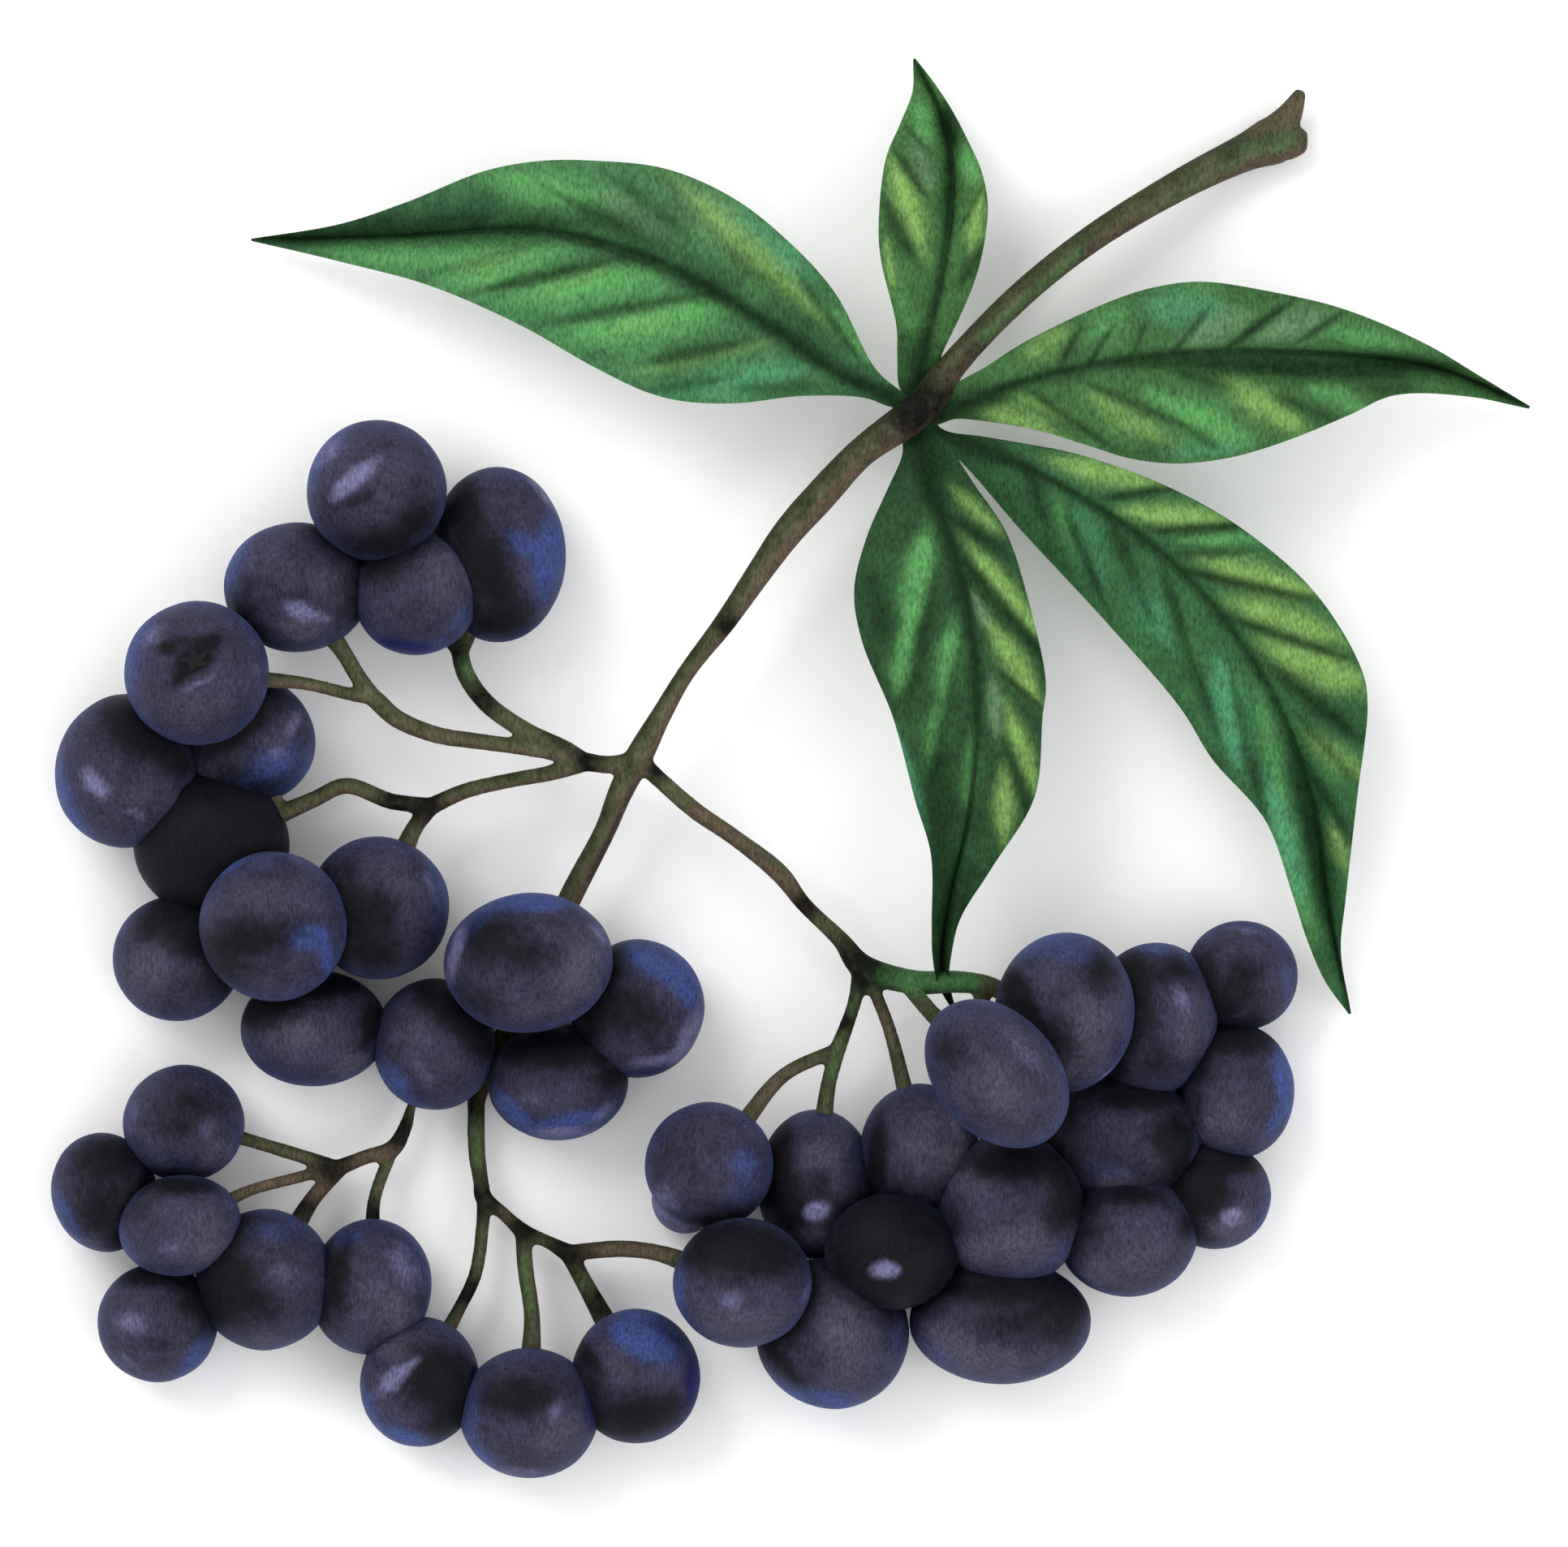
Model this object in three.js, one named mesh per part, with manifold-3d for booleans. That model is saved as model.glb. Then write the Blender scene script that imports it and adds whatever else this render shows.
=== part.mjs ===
// Elderberry cluster, cut with its stem and five leaves, lying on a table.
// Millimetres, +Z up. The table is Z = 0 and the cluster's own top points along +Y.
// Places are given on a plan sheet laid over the cluster: u runs right, v runs down.

import * as THREE from 'three';
import { mergeVertices } from 'three/addons/utils/BufferGeometryUtils.js';
import Module from 'manifold-3d';

const wasm = await Module();
wasm.setup();

// The sheet's point that becomes X = 0, Y = 0.
const ORIGIN_U = 48.7;
const ORIGIN_V = 47.3;

// Clearance between the stem and what sits on it.
const JOINT_GAP = 0.3;
// How deep a stalk sits in its berry.
const STALK_SINK = 0.9;
// Share of two berries' radii that they are pressed into each other, inside one bunch.
const BERRY_BITE = 0.16;
// Clear share of the radii that two berries of different bunches keep.
const BUNCH_CLEARANCE = 0.03;
// The lowest berries are flattened by this much where they lie on the table.
const BERRY_FLAT = 0.14;
// A faceted ball is drawn this much larger, so that it holds a round berry's volume.
const BALL_SCALE = 1.045;
const BALL_DETAIL = 1;

const LEAF_THICKNESS = 0.65;
const LEAF_RIB = 0.55;
const LEAF_ROWS = 22;
// Places across a leaf, from its left margin over the midrib to its right margin.
const LEAF_COLUMNS = [-1, -0.64, -0.3, 0, 0.3, 0.64, 1];
// How far the side veins sweep forward on their way to the margin.
const VEIN_SWEEP = 0.55;
const VEIN_PUFF = 0.26;
const LEAF_CREST = 0.9;
const LEAF_DROOP = 1.5;

const RAY_SIDES = 8;
const STALK_SIDES = 5;
const STEPS_PER_POINT = 1.4;

// Berries by bunch, lowest first: number, u, v, half width, half height on the sheet,
// turn in degrees and, for a berry that the stem holds up, the least height of its centre.
const BUNCHES = {
  berries_upper_left: [
    [2, 31.4, 34.2, 3.4, 5.3, 0],
    [4, 25.7, 36.6, 3.8, 3.8, 0],
    [3, 18.4, 36.2, 4.5, 4.0, 0],
    [1, 23.3, 30.3, 4.3, 4.2, 0, 6.6],
  ],
  berries_left: [
    [8, 13.2, 52.6, 4.6, 3.8, 0],
    [7, 15.8, 45.5, 3.8, 3.85, -20],
    [6, 7.7, 47.4, 4.4, 4.75, -10],
    [5, 12.2, 41.4, 4.4, 4.4, 0],
    [9, 11.0, 59.0, 3.9, 3.9, 0],
    [11, 24.0, 55.9, 3.75, 4.4, 0, 5.4],
    [10, 17.0, 57.0, 4.6, 4.5, 0],
  ],
  berries_centre: [
    [12, 19.5, 63.9, 4.5, 3.25, 0],
    [13, 26.8, 64.35, 3.75, 4.05, 0],
    [15, 39.5, 62.1, 3.9, 4.25, -15],
    [16, 34.4, 66.8, 4.35, 3.4, 0],
    [14, 32.6, 59.25, 5.15, 4.35, 5, 7.7],
  ],
  berries_lower_left: [
    [17, 11.3, 69.2, 3.75, 3.6, 0],
    [18, 6.4, 73.3, 3.0, 3.7, 10],
    [20, 9.75, 81.4, 3.7, 3.65, 0],
    [22, 23.1, 79.1, 3.4, 4.0, -10],
    [21, 16.65, 78.75, 4.0, 4.35, 0],
    [19, 11.15, 75.4, 3.75, 3.1, 10],
    [23, 25.9, 85.1, 3.6, 3.95, -10],
    [25, 39.25, 84.65, 3.85, 4.1, 0],
    [24, 32.6, 86.9, 4.2, 4.0, 0],
  ],
  berries_right: [
    [27, 42.4, 74.2, 2.1, 2.1, 0],
    [41, 51.4, 82.1, 4.7, 4.6, 0],
    [42, 61.7, 81.45, 5.45, 3.65, 0],
    [28, 50.7, 72.8, 3.15, 4.5, 0],
    [26, 43.7, 71.7, 3.95, 3.9, 0],
    [29, 56.65, 70.65, 3.45, 3.95, 0],
    [37, 69.8, 76.2, 3.75, 3.4, 0, 4.3],
    [36, 75.3, 73.9, 3.0, 2.95, 0],
    [35, 69.1, 69.9, 3.9, 3.3, 0],
    [34, 76.25, 67.25, 3.4, 3.95, 0],
    [33, 77.0, 60.0, 3.35, 3.4, 0],
    [32, 71.25, 62.75, 3.75, 4.75, 0],
    [38, 62.5, 74.8, 4.15, 4.25, 0, 5.4],
    [40, 45.75, 78.85, 4.25, 4.0, 0],
    [39, 54.7, 77.2, 3.5, 2.8, 0],
    [31, 65.9, 62.3, 3.95, 4.95, -10],
    [30, 61.2, 66.3, 4.2, 4.5, -20],
  ],
};

// Rays of the cluster, thick end first: u, v, height of the axis, radius.
const RAYS = [
  // Main stem, from the torn heel over the leaf node and the fork to the lower stems.
  [
    [79.3, 8.35, 1.35, 1.2], [78.5, 8.65, 1.3, 1.5], [76.75, 9.4, 1.6, 1.2],
    [73.0, 11.25, 2.4, 1.0], [67.25, 14.75, 3.7, 0.86], [62.75, 18.35, 4.8, 0.84],
    [58.75, 22.5, 6.0, 0.88], [56.7, 25.2, 6.5, 1.15], [53.05, 27.95, 6.6, 0.95],
    [50.55, 30.6, 6.6, 1.02], [48.5, 32.9, 6.5, 0.95], [46.65, 35.5, 6.4, 0.8],
    [44.65, 38.4, 6.2, 0.68], [42.35, 41.4, 6.0, 0.56], [40.8, 44.0, 5.8, 0.65],
    [39.4, 46.6, 5.6, 0.86], [38.3, 48.7, 5.3, 0.78], [37.35, 51.05, 4.8, 0.68],
    [35.3, 55.0, 3.7, 0.74], [33.6, 58.6, 2.7, 0.68], [31.9, 62.0, 1.8, 0.6],
    [30.2, 65.4, 1.15, 0.55], [29.35, 67.9, 1.3, 0.55],
  ],
  // Pointed splinter and rounded lobe of the torn heel.
  [[77.9, 8.9, 1.6, 1.3], [79.1, 7.3, 1.6, 0.85], [80.2, 5.45, 1.7, 0.2]],
  [[78.2, 8.7, 1.5, 1.3], [79.6, 8.95, 1.45, 1.05], [80.2, 9.1, 1.4, 0.6]],
  // Right ray, over the right hub and on below the right bunch.
  [
    [39.4, 46.8, 5.6, 0.6], [40.15, 47.55, 5.6, 0.54], [42.75, 49.85, 5.6, 0.55],
    [45.35, 51.65, 5.5, 0.53], [48.05, 53.8, 5.4, 0.6], [49.5, 55.65, 5.3, 0.5],
    [51.8, 57.9, 5.2, 0.56], [53.1, 59.5, 5.2, 0.8], [56.2, 60.45, 5.1, 0.76],
    [59.1, 60.45, 5.0, 0.7], [61.2, 60.8, 4.6, 0.6], [63.4, 62.4, 3.3, 0.5],
    [65.6, 65.0, 1.9, 0.46], [68.5, 66.8, 1.2, 0.42], [72.3, 68.0, 1.1, 0.4],
    [73.0, 71.0, 1.1, 0.36],
  ],
  // Hidden ray below the right bunch.
  [
    [60.2, 60.6, 4.8, 0.5], [60.9, 63.5, 3.2, 0.46], [61.2, 67.5, 1.8, 0.42],
    [60.4, 71.0, 1.2, 0.4], [58.1, 74.3, 1.2, 0.38], [58.0, 77.4, 1.2, 0.36],
  ],
  // Twig from the right hub towards the middle.
  [[53.1, 59.4, 5.2, 0.6], [52.6, 61.8, 5.1, 0.44], [51.6, 64.6, 4.9, 0.52]],
  // Left ray and its three twigs.
  [[39.2, 46.9, 5.6, 0.6], [37.45, 47.1, 5.6, 0.56], [35.9, 46.9, 5.6, 0.6]],
  [
    [35.9, 46.9, 5.6, 0.62], [34.9, 46.25, 5.6, 0.62], [32.45, 45.05, 5.4, 0.58],
    [30.05, 43.35, 5.0, 0.58], [28.75, 41.55, 4.5, 0.58], [28.25, 39.6, 3.9, 0.54],
  ],
  [
    [35.4, 46.6, 5.6, 0.5], [32.25, 46.05, 5.6, 0.5], [29.35, 45.65, 5.5, 0.52],
    [27.05, 45.3, 5.4, 0.54], [24.55, 44.3, 5.2, 0.58], [23.2, 43.1, 5.0, 0.6],
  ],
  [
    [35.9, 47.1, 5.6, 0.52], [34.1, 47.6, 5.5, 0.5], [31.35, 48.1, 5.3, 0.48],
    [28.65, 48.75, 5.0, 0.5], [26.65, 49.65, 4.7, 0.56],
  ],
  // Lower stems: to the lower left and to the bottom.
  [
    [29.4, 67.6, 1.3, 0.5], [27.6, 68.3, 1.6, 0.46], [25.65, 68.4, 1.9, 0.44],
    [25.0, 69.65, 2.0, 0.48], [24.2, 70.75, 2.1, 0.55], [22.7, 71.2, 2.3, 0.47],
    [20.9, 71.9, 2.5, 0.52],
  ],
  [
    [29.35, 67.4, 1.3, 0.55], [29.4, 71.0, 1.7, 0.55], [29.65, 72.75, 2.0, 0.5],
    [29.8, 73.7, 2.1, 0.55], [31.0, 74.7, 2.3, 0.42], [32.25, 75.8, 2.5, 0.5],
    [33.75, 76.45, 2.6, 0.42], [35.05, 77.15, 2.7, 0.6],
  ],
];

// Berry stalks: the berry's number, the radius, where it leaves a ray with its height,
// then the places it bends through. It ends in the berry's side.
const STALKS = [
  [1, 0.46, [28.3, 39.9, 4.0], [27.2, 34.5]],
  [2, 0.5, [28.4, 40.3, 4.1]],
  [4, 0.5, [28.3, 40.0, 4.0]],
  [3, 0.53, [23.2, 43.1, 5.0], [22.2, 41.8], [21.3, 40.3]],
  [5, 0.42, [23.2, 43.1, 5.0], [21.5, 42.75], [19.0, 42.15]],
  [8, 0.52, [26.65, 49.65, 4.7], [24.15, 49.35], [21.4, 48.4], [19.4, 49.25]],
  [7, 0.46, [19.1, 49.6, 4.3]],
  [6, 0.44, [19.1, 49.6, 4.3], [13.8, 49.0]],
  [11, 0.54, [26.65, 49.65, 4.7], [25.6, 51.0]],
  [10, 0.46, [19.1, 49.6, 4.3], [18.4, 52.0]],
  [9, 0.42, [19.0, 49.7, 4.2], [18.2, 52.6], [15.6, 56.0]],
  [12, 0.42, [29.6, 66.9, 1.3], [26.0, 69.0]],
  [13, 0.44, [31.9, 62.0, 1.8]],
  [14, 0.52, [34.8, 56.0, 3.4]],
  [15, 0.5, [34.0, 57.8, 2.9], [36.3, 60.2]],
  [16, 0.48, [31.2, 63.4, 1.5]],
  [17, 0.45, [20.9, 71.9, 2.5], [18.35, 71.1], [15.05, 70.1]],
  [19, 0.38, [20.9, 71.9, 2.5], [18.35, 72.5], [15.4, 73.3]],
  [21, 0.53, [20.9, 72.0, 2.5], [19.25, 73.9]],
  [18, 0.38, [15.6, 73.25, 4.2], [12.0, 73.0]],
  [20, 0.4, [15.6, 73.25, 4.2], [13.6, 77.0]],
  [22, 0.42, [24.2, 70.75, 2.1], [23.1, 73.9]],
  [23, 0.43, [29.8, 73.7, 2.1], [29.75, 75.5], [29.3, 78.5], [28.2, 80.8]],
  [24, 0.52, [32.25, 75.8, 2.5], [32.4, 78.1], [32.8, 81.0]],
  [25, 0.56, [35.05, 77.15, 2.7], [36.1, 79.1]],
  [40, 0.54, [35.05, 77.15, 2.7], [38.25, 76.85], [40.6, 77.1]],
  [28, 0.5, [51.6, 64.6, 4.9], [51.0, 66.9]],
  [26, 0.46, [51.6, 64.6, 4.9], [48.25, 66.2]],
  [27, 0.34, [48.25, 66.2, 5.6], [46.9, 70.0]],
  [29, 0.42, [53.4, 59.9, 5.2], [54.75, 63.3]],
  [30, 0.54, [55.8, 60.5, 5.1], [57.4, 62.4]],
  [31, 0.44, [63.4, 62.4, 3.3]],
  [32, 0.42, [67.2, 66.2, 1.5]],
  [33, 0.36, [72.3, 68.0, 1.15], [74.0, 64.7]],
  [34, 0.4, [72.3, 68.0, 1.1]],
  [35, 0.4, [72.5, 68.6, 1.1]],
  [36, 0.38, [73.0, 71.0, 1.1]],
  [37, 0.38, [73.0, 71.0, 1.1], [72.2, 73.4]],
  [38, 0.42, [60.4, 71.0, 1.2]],
  [39, 0.38, [58.1, 74.3, 1.2]],
  [42, 0.42, [58.0, 77.4, 1.2]],
  [41, 0.42, [58.0, 77.4, 1.2]],
];

// Leaves: points from the base to the tip on the sheet, and the height of the upper
// face along the midrib, evenly spaced. The left margin is the one with the smaller
// angle counted against the clock from the midrib, seen from above.
const LEAVES = {
  leaf_left: {
    midrib: [[56.0, 24.9], [52.3, 23.5], [46.6, 19.7], [40.9, 16.4], [33.7, 14.4],
      [25.1, 14.6], [15.5, 14.8]],
    left: [[55.7, 25.4], [52.3, 24.5], [49.45, 24.5], [45.4, 24.95], [42.25, 24.85],
      [39.95, 24.3], [36.5, 22.65], [32.2, 20.2], [26.5, 17.7], [21.0, 16.25], [15.5, 15.05]],
    right: [[55.9, 24.2], [53.75, 22.5], [51.45, 18.2], [48.6, 15.05], [45.15, 12.35],
      [41.1, 10.6], [36.8, 10.1], [33.35, 10.1], [29.9, 10.7], [25.05, 12.6], [21.0, 13.9],
      [15.5, 14.55]],
    heights: [7.0, 8.3, 8.8, 8.1, 6.4, 4.2, 1.4],
    waves: 2.6,
  },
  leaf_top: {
    midrib: [[56.8, 24.5], [56.5, 23.2], [57.8, 18.2], [58.6, 13.05], [58.7, 10.35],
      [57.9, 6.9], [56.3, 3.65]],
    left: [[56.3, 24.5], [55.4, 23.0], [55.25, 20.2], [54.25, 16.15], [54.1, 14.15],
      [54.55, 9.9], [55.45, 7.7], [56.2, 5.7], [56.1, 3.7]],
    right: [[57.3, 24.3], [58.05, 21.95], [59.15, 19.5], [60.05, 17.3], [60.6, 15.05],
      [60.8, 12.6], [60.4, 10.6], [59.7, 9.0], [58.7, 7.0], [57.6, 5.25], [56.5, 3.6]],
    heights: [7.0, 7.6, 7.6, 6.6, 4.9, 3.0, 1.1],
    waves: 1.9,
  },
  leaf_right: {
    midrib: [[57.5, 25.3], [62.95, 23.8], [71.2, 22.05], [79.4, 21.8], [87.1, 22.35],
      [90.6, 23.4], [94.2, 25.1]],
    left: [[57.6, 24.8], [58.85, 23.7], [62.95, 21.25], [68.45, 18.65], [71.2, 17.8],
      [73.95, 17.5], [78.05, 18.1], [82.7, 19.2], [87.65, 21.25], [91.2, 23.3], [94.25, 24.9]],
    right: [[57.6, 25.9], [58.85, 25.9], [61.05, 26.0], [63.8, 26.6], [66.8, 27.5],
      [69.55, 28.35], [72.55, 28.65], [75.85, 28.25], [79.4, 27.15], [83.0, 25.65],
      [85.75, 24.45], [90.4, 24.5], [94.15, 25.35]],
    heights: [7.0, 8.4, 8.9, 8.4, 6.8, 4.2, 1.3],
    waves: 2.8,
  },
  leaf_lower_right: {
    midrib: [[57.6, 26.2], [61.8, 28.25], [67.7, 31.4], [73.1, 35.65], [77.85, 42.05],
      [80.65, 48.9], [81.75, 55.5], [83.15, 62.45]],
    left: [[57.9, 26.1], [60.15, 27.05], [66.05, 28.0], [71.25, 29.8], [76.2, 32.5],
      [80.9, 36.6], [83.75, 41.35], [84.1, 43.45], [83.5, 49.1], [82.8, 55.5],
      [82.55, 58.55], [83.4, 62.35]],
    right: [[57.4, 26.7], [58.95, 28.0], [62.5, 32.35], [68.4, 38.75], [72.65, 43.7],
      [74.55, 46.75], [77.85, 50.55], [79.5, 55.0], [80.45, 57.85], [81.6, 60.45],
      [82.9, 62.5]],
    heights: [6.8, 7.9, 8.4, 8.0, 6.8, 5.0, 3.0, 1.2],
    waves: 3.1,
  },
  leaf_lower: {
    midrib: [[56.6, 26.1], [56.7, 27.9], [58.25, 32.6], [59.55, 37.3], [60.15, 43.8],
      [59.65, 50.05], [58.5, 55.0], [57.85, 60.3]],
    left: [[57.1, 26.2], [57.7, 28.0], [59.7, 30.2], [61.6, 33.0], [63.3, 37.1],
      [64.35, 42.05], [64.15, 44.15], [63.65, 49.1], [61.1, 53.35], [59.1, 56.6],
      [58.15, 60.3]],
    right: [[56.1, 26.4], [55.4, 29.05], [53.3, 33.3], [52.6, 36.4], [53.05, 39.45],
      [54.95, 44.15], [56.35, 49.35], [57.3, 52.6], [57.35, 57.0], [57.6, 60.3]],
    heights: [6.8, 8.0, 8.8, 9.2, 9.2, 8.8, 8.0, 7.4],
    waves: 2.7,
  },
};

const COLOURS = {
  stem: 0x5f5a35,
  leaf: 0x4d7534,
  berry: 0x2c2740,
};

// A point of the sheet with its height, in the part's own frame.
function onTable(u, v, z) {
  return new THREE.Vector3(u - ORIGIN_U, ORIGIN_V - v, z);
}

// Closed three.js geometry to a solid that can be joined and cut.
function toSolid(geometry) {
  geometry.deleteAttribute('normal');
  geometry.deleteAttribute('uv');
  const merged = mergeVertices(geometry, 1e-5);
  return new wasm.Manifold(new wasm.Mesh({
    numProp: 3,
    vertProperties: new Float32Array(merged.attributes.position.array),
    triVerts: new Uint32Array(merged.index.array),
  }));
}

function toGeometry(solid) {
  const mesh = solid.getMesh();
  const geometry = new THREE.BufferGeometry();
  geometry.setAttribute('position', new THREE.BufferAttribute(mesh.vertProperties, 3));
  geometry.setIndex(new THREE.BufferAttribute(mesh.triVerts, 1));
  geometry.computeVertexNormals();
  return geometry;
}

function joinAll(solids) {
  return solids.reduce((joined, next) => joined.add(next));
}

// The largest piece of a solid: what a cut leaves loose beside it is dropped.
function largestPiece(solid) {
  const pieces = solid.decompose();
  return pieces.reduce((best, piece) => (piece.volume() > best.volume() ? piece : best));
}

// Everything below the table, as a slab.
function belowTable() {
  const slab = new THREE.BoxGeometry(200, 200, 20);
  slab.translate(0, 0, -10);
  return toSolid(slab);
}

// Radius of an ellipse on the sheet, seen in the direction of an angle.
function radiusToward(berry, angle) {
  const turned = angle - berry.turn;
  return 1 / Math.hypot(Math.cos(turned) / berry.across, Math.sin(turned) / berry.along);
}

// Rise between the centres of two berries that touch with a share of their radii to
// spare or to bite into, or 0 where they pass each other.
function riseBetween(berry, lower, touch) {
  const offset = new THREE.Vector2(berry.x - lower.x, berry.y - lower.y);
  const reach = radiusToward(berry, offset.angle()) + radiusToward(lower, offset.angle());
  const rise = touch ** 2 - (offset.length() / reach) ** 2;
  return (berry.deep + lower.deep) * Math.sqrt(Math.max(rise, 0));
}

// Height of a berry that lies on those of its bunch and clear of all other berries.
function heightAmong(berry, placed, least) {
  let height = least;
  for (const lower of placed.filter((one) => one.bunch === berry.bunch)) {
    const rise = riseBetween(berry, lower, 1 - BERRY_BITE);
    if (rise > 0) height = Math.max(height, lower.z + rise);
  }
  for (const other of placed.filter((one) => one.bunch !== berry.bunch)) {
    const rise = riseBetween(berry, other, 1 + BUNCH_CLEARANCE);
    if (Math.abs(height - other.z) < rise) height = other.z + rise;
  }
  return height;
}

// Berries come to lie one by one: on the table, or on the berries that are there.
function placeBerries() {
  const placed = [];
  for (const [bunch, rows] of Object.entries(BUNCHES)) {
    for (const [number, u, v, across, along, turn, least = 0] of rows) {
      const { x, y } = onTable(u, v, 0);
      const deep = (across + along) / 2;
      const berry = { number, bunch, x, y, across, along, deep };
      berry.turn = THREE.MathUtils.degToRad(turn);
      berry.z = heightAmong(berry, placed, Math.max(deep - BERRY_FLAT, least));
      placed.push(berry);
    }
  }
  return placed;
}

function berrySolid(berry) {
  const ball = new THREE.IcosahedronGeometry(BALL_SCALE, BALL_DETAIL);
  ball.scale(berry.across, berry.along, berry.deep);
  ball.rotateZ(berry.turn);
  ball.translate(berry.x, berry.y, berry.z);
  return toSolid(ball);
}

// Closed tube through points with a radius each, thicker by grow all round.
function tube(points, radii, sides, grow) {
  const curve = new THREE.CatmullRomCurve3(points, false, 'centripetal');
  const steps = Math.round((points.length - 1) * STEPS_PER_POINT);
  const frames = curve.computeFrenetFrames(steps, false);
  const positions = [];
  const faces = [];
  for (let i = 0; i <= steps; i += 1) {
    const place = curve.getUtoTmapping(i / steps) * (points.length - 1);
    const k = Math.min(Math.floor(place), points.length - 2);
    const radius = THREE.MathUtils.lerp(radii[k], radii[k + 1], place - k) + grow;
    const centre = curve.getPointAt(i / steps);
    if (i === 0) centre.addScaledVector(frames.tangents[0], -grow);
    if (i === steps) centre.addScaledVector(frames.tangents[steps], grow);
    for (let j = 0; j < sides; j += 1) {
      const angle = (2 * Math.PI * j) / sides;
      const point = centre.clone()
        .addScaledVector(frames.normals[i], Math.cos(angle) * radius)
        .addScaledVector(frames.binormals[i], Math.sin(angle) * radius);
      positions.push(...point.toArray());
    }
  }
  for (let i = 0; i < steps; i += 1) {
    for (let j = 0; j < sides; j += 1) {
      const a = i * sides + j;
      const b = i * sides + ((j + 1) % sides);
      faces.push(a, b, b + sides, a, b + sides, a + sides);
    }
  }
  for (let j = 1; j < sides - 1; j += 1) {
    const last = steps * sides;
    faces.push(0, j + 1, j, last, last + j, last + j + 1);
  }
  const geometry = new THREE.BufferGeometry();
  geometry.setAttribute('position', new THREE.Float32BufferAttribute(positions, 3));
  geometry.setIndex(faces);
  return toSolid(geometry);
}

function ray(rows, grow) {
  const points = rows.map(([u, v, z]) => onTable(u, v, z));
  const radii = rows.map((row) => row[3]);
  return tube(points, radii, RAY_SIDES, grow);
}

// A stalk leaves its ray, rises or sinks evenly, and ends inside its berry's side.
function stalk([number, radius, start, ...bends], berries, grow) {
  const berry = berries.find((one) => one.number === number);
  const points = [onTable(...start), ...bends.map(([u, v]) => onTable(u, v, start[2]))];
  const centre = new THREE.Vector3(berry.x, berry.y, berry.z);
  const lengths = points.map((point, i) => (i ? point.distanceTo(points[i - 1]) : 0));
  const total = lengths.reduce((sum, length) => sum + length, 0)
    + Math.hypot(centre.x - points.at(-1).x, centre.y - points.at(-1).y);
  let run = 0;
  points.forEach((point, i) => {
    run += lengths[i];
    point.z = THREE.MathUtils.lerp(start[2], berry.z, run / total);
  });
  const back = points.at(-1).clone().sub(centre);
  const surface = radiusToward(berry, Math.atan2(back.y, back.x));
  const depth = Math.min(surface, berry.deep) - STALK_SINK;
  points.push(centre.clone().addScaledVector(back.normalize(), depth));
  const radii = points.map(() => radius);
  return tube(points, radii, STALK_SIDES, grow);
}

// All rays and stalks as one body, thicker by grow all round.
function stemSolid(berries, grow) {
  const rays = RAYS.map((rows) => ray(rows, grow));
  const stalks = STALKS.map((row) => stalk(row, berries, grow));
  return joinAll([...rays, ...stalks]);
}

function sheetCurve(rows) {
  const points = rows.map(([u, v]) => onTable(u, v, 0));
  return new THREE.CatmullRomCurve3(points, false, 'centripetal');
}

// Height read from a list of evenly spaced heights, along s from 0 to 1.
function heightAt(heights, s) {
  const points = heights.map((height) => new THREE.Vector2(height, 0));
  return new THREE.SplineCurve(points).getPoint(s).x;
}

// Leaf blade as rows that follow the side veins, from base to tip, with both faces
// split alike. Every second row is a vein and lies a little lower.
function leafSolid({ midrib, left, right, heights, waves }) {
  const rib = sheetCurve(midrib);
  const margins = [sheetCurve(left), sheetCurve(right)];
  const columns = LEAF_COLUMNS.length;
  const top = [];
  const bottom = [];
  for (let i = 0; i <= LEAF_ROWS; i += 1) {
    const s = i / LEAF_ROWS;
    const swept = s + VEIN_SWEEP * s * (1 - s);
    for (const t of LEAF_COLUMNS) {
      const side = Math.abs(t);
      const margin = margins[t < 0 ? 0 : 1].getPointAt(swept);
      const point = rib.getPointAt(s).lerp(margin, side);
      const open = Math.sin(Math.PI * Math.min(1, s * 1.02));
      const fold = LEAF_CREST * side - LEAF_DROOP * side ** 2;
      const puff = (i % 2 ? VEIN_PUFF : -VEIN_PUFF) * Math.sin(Math.PI * Math.min(side, 0.8));
      const wave = 0.4 * side ** 2 * Math.sin(2 * Math.PI * waves * s + t);
      point.z = heightAt(heights, s) + open * (fold + puff + wave);
      top.push(point);
      const rise = t === 0 ? LEAF_RIB * (1 - s) : 0;
      bottom.push(point.clone().setZ(point.z - LEAF_THICKNESS - rise));
    }
  }
  const faces = [];
  const under = top.length;
  const quad = (a, b, c, d) => faces.push(a, b, c, a, c, d);
  for (let i = 0; i < LEAF_ROWS; i += 1) {
    for (let j = 0; j < columns - 1; j += 1) {
      const a = i * columns + j;
      const b = a + 1;
      const c = b + columns;
      const d = a + columns;
      quad(a, b, c, d);
      faces.push(under + a, under + c, under + b, under + a, under + d, under + c);
    }
    const first = i * columns;
    const last = first + columns - 1;
    quad(first + columns, under + first + columns, under + first, first);
    quad(last, under + last, under + last + columns, last + columns);
  }
  for (let j = 0; j < columns - 1; j += 1) {
    const end = LEAF_ROWS * columns + j;
    quad(j, under + j, under + j + 1, j + 1);
    quad(end + 1, under + end + 1, under + end, end);
  }
  const geometry = new THREE.BufferGeometry();
  const positions = [...top, ...bottom].flatMap((point) => point.toArray());
  geometry.setAttribute('position', new THREE.Float32BufferAttribute(positions, 3));
  geometry.setIndex(faces);
  return toSolid(geometry);
}

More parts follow.
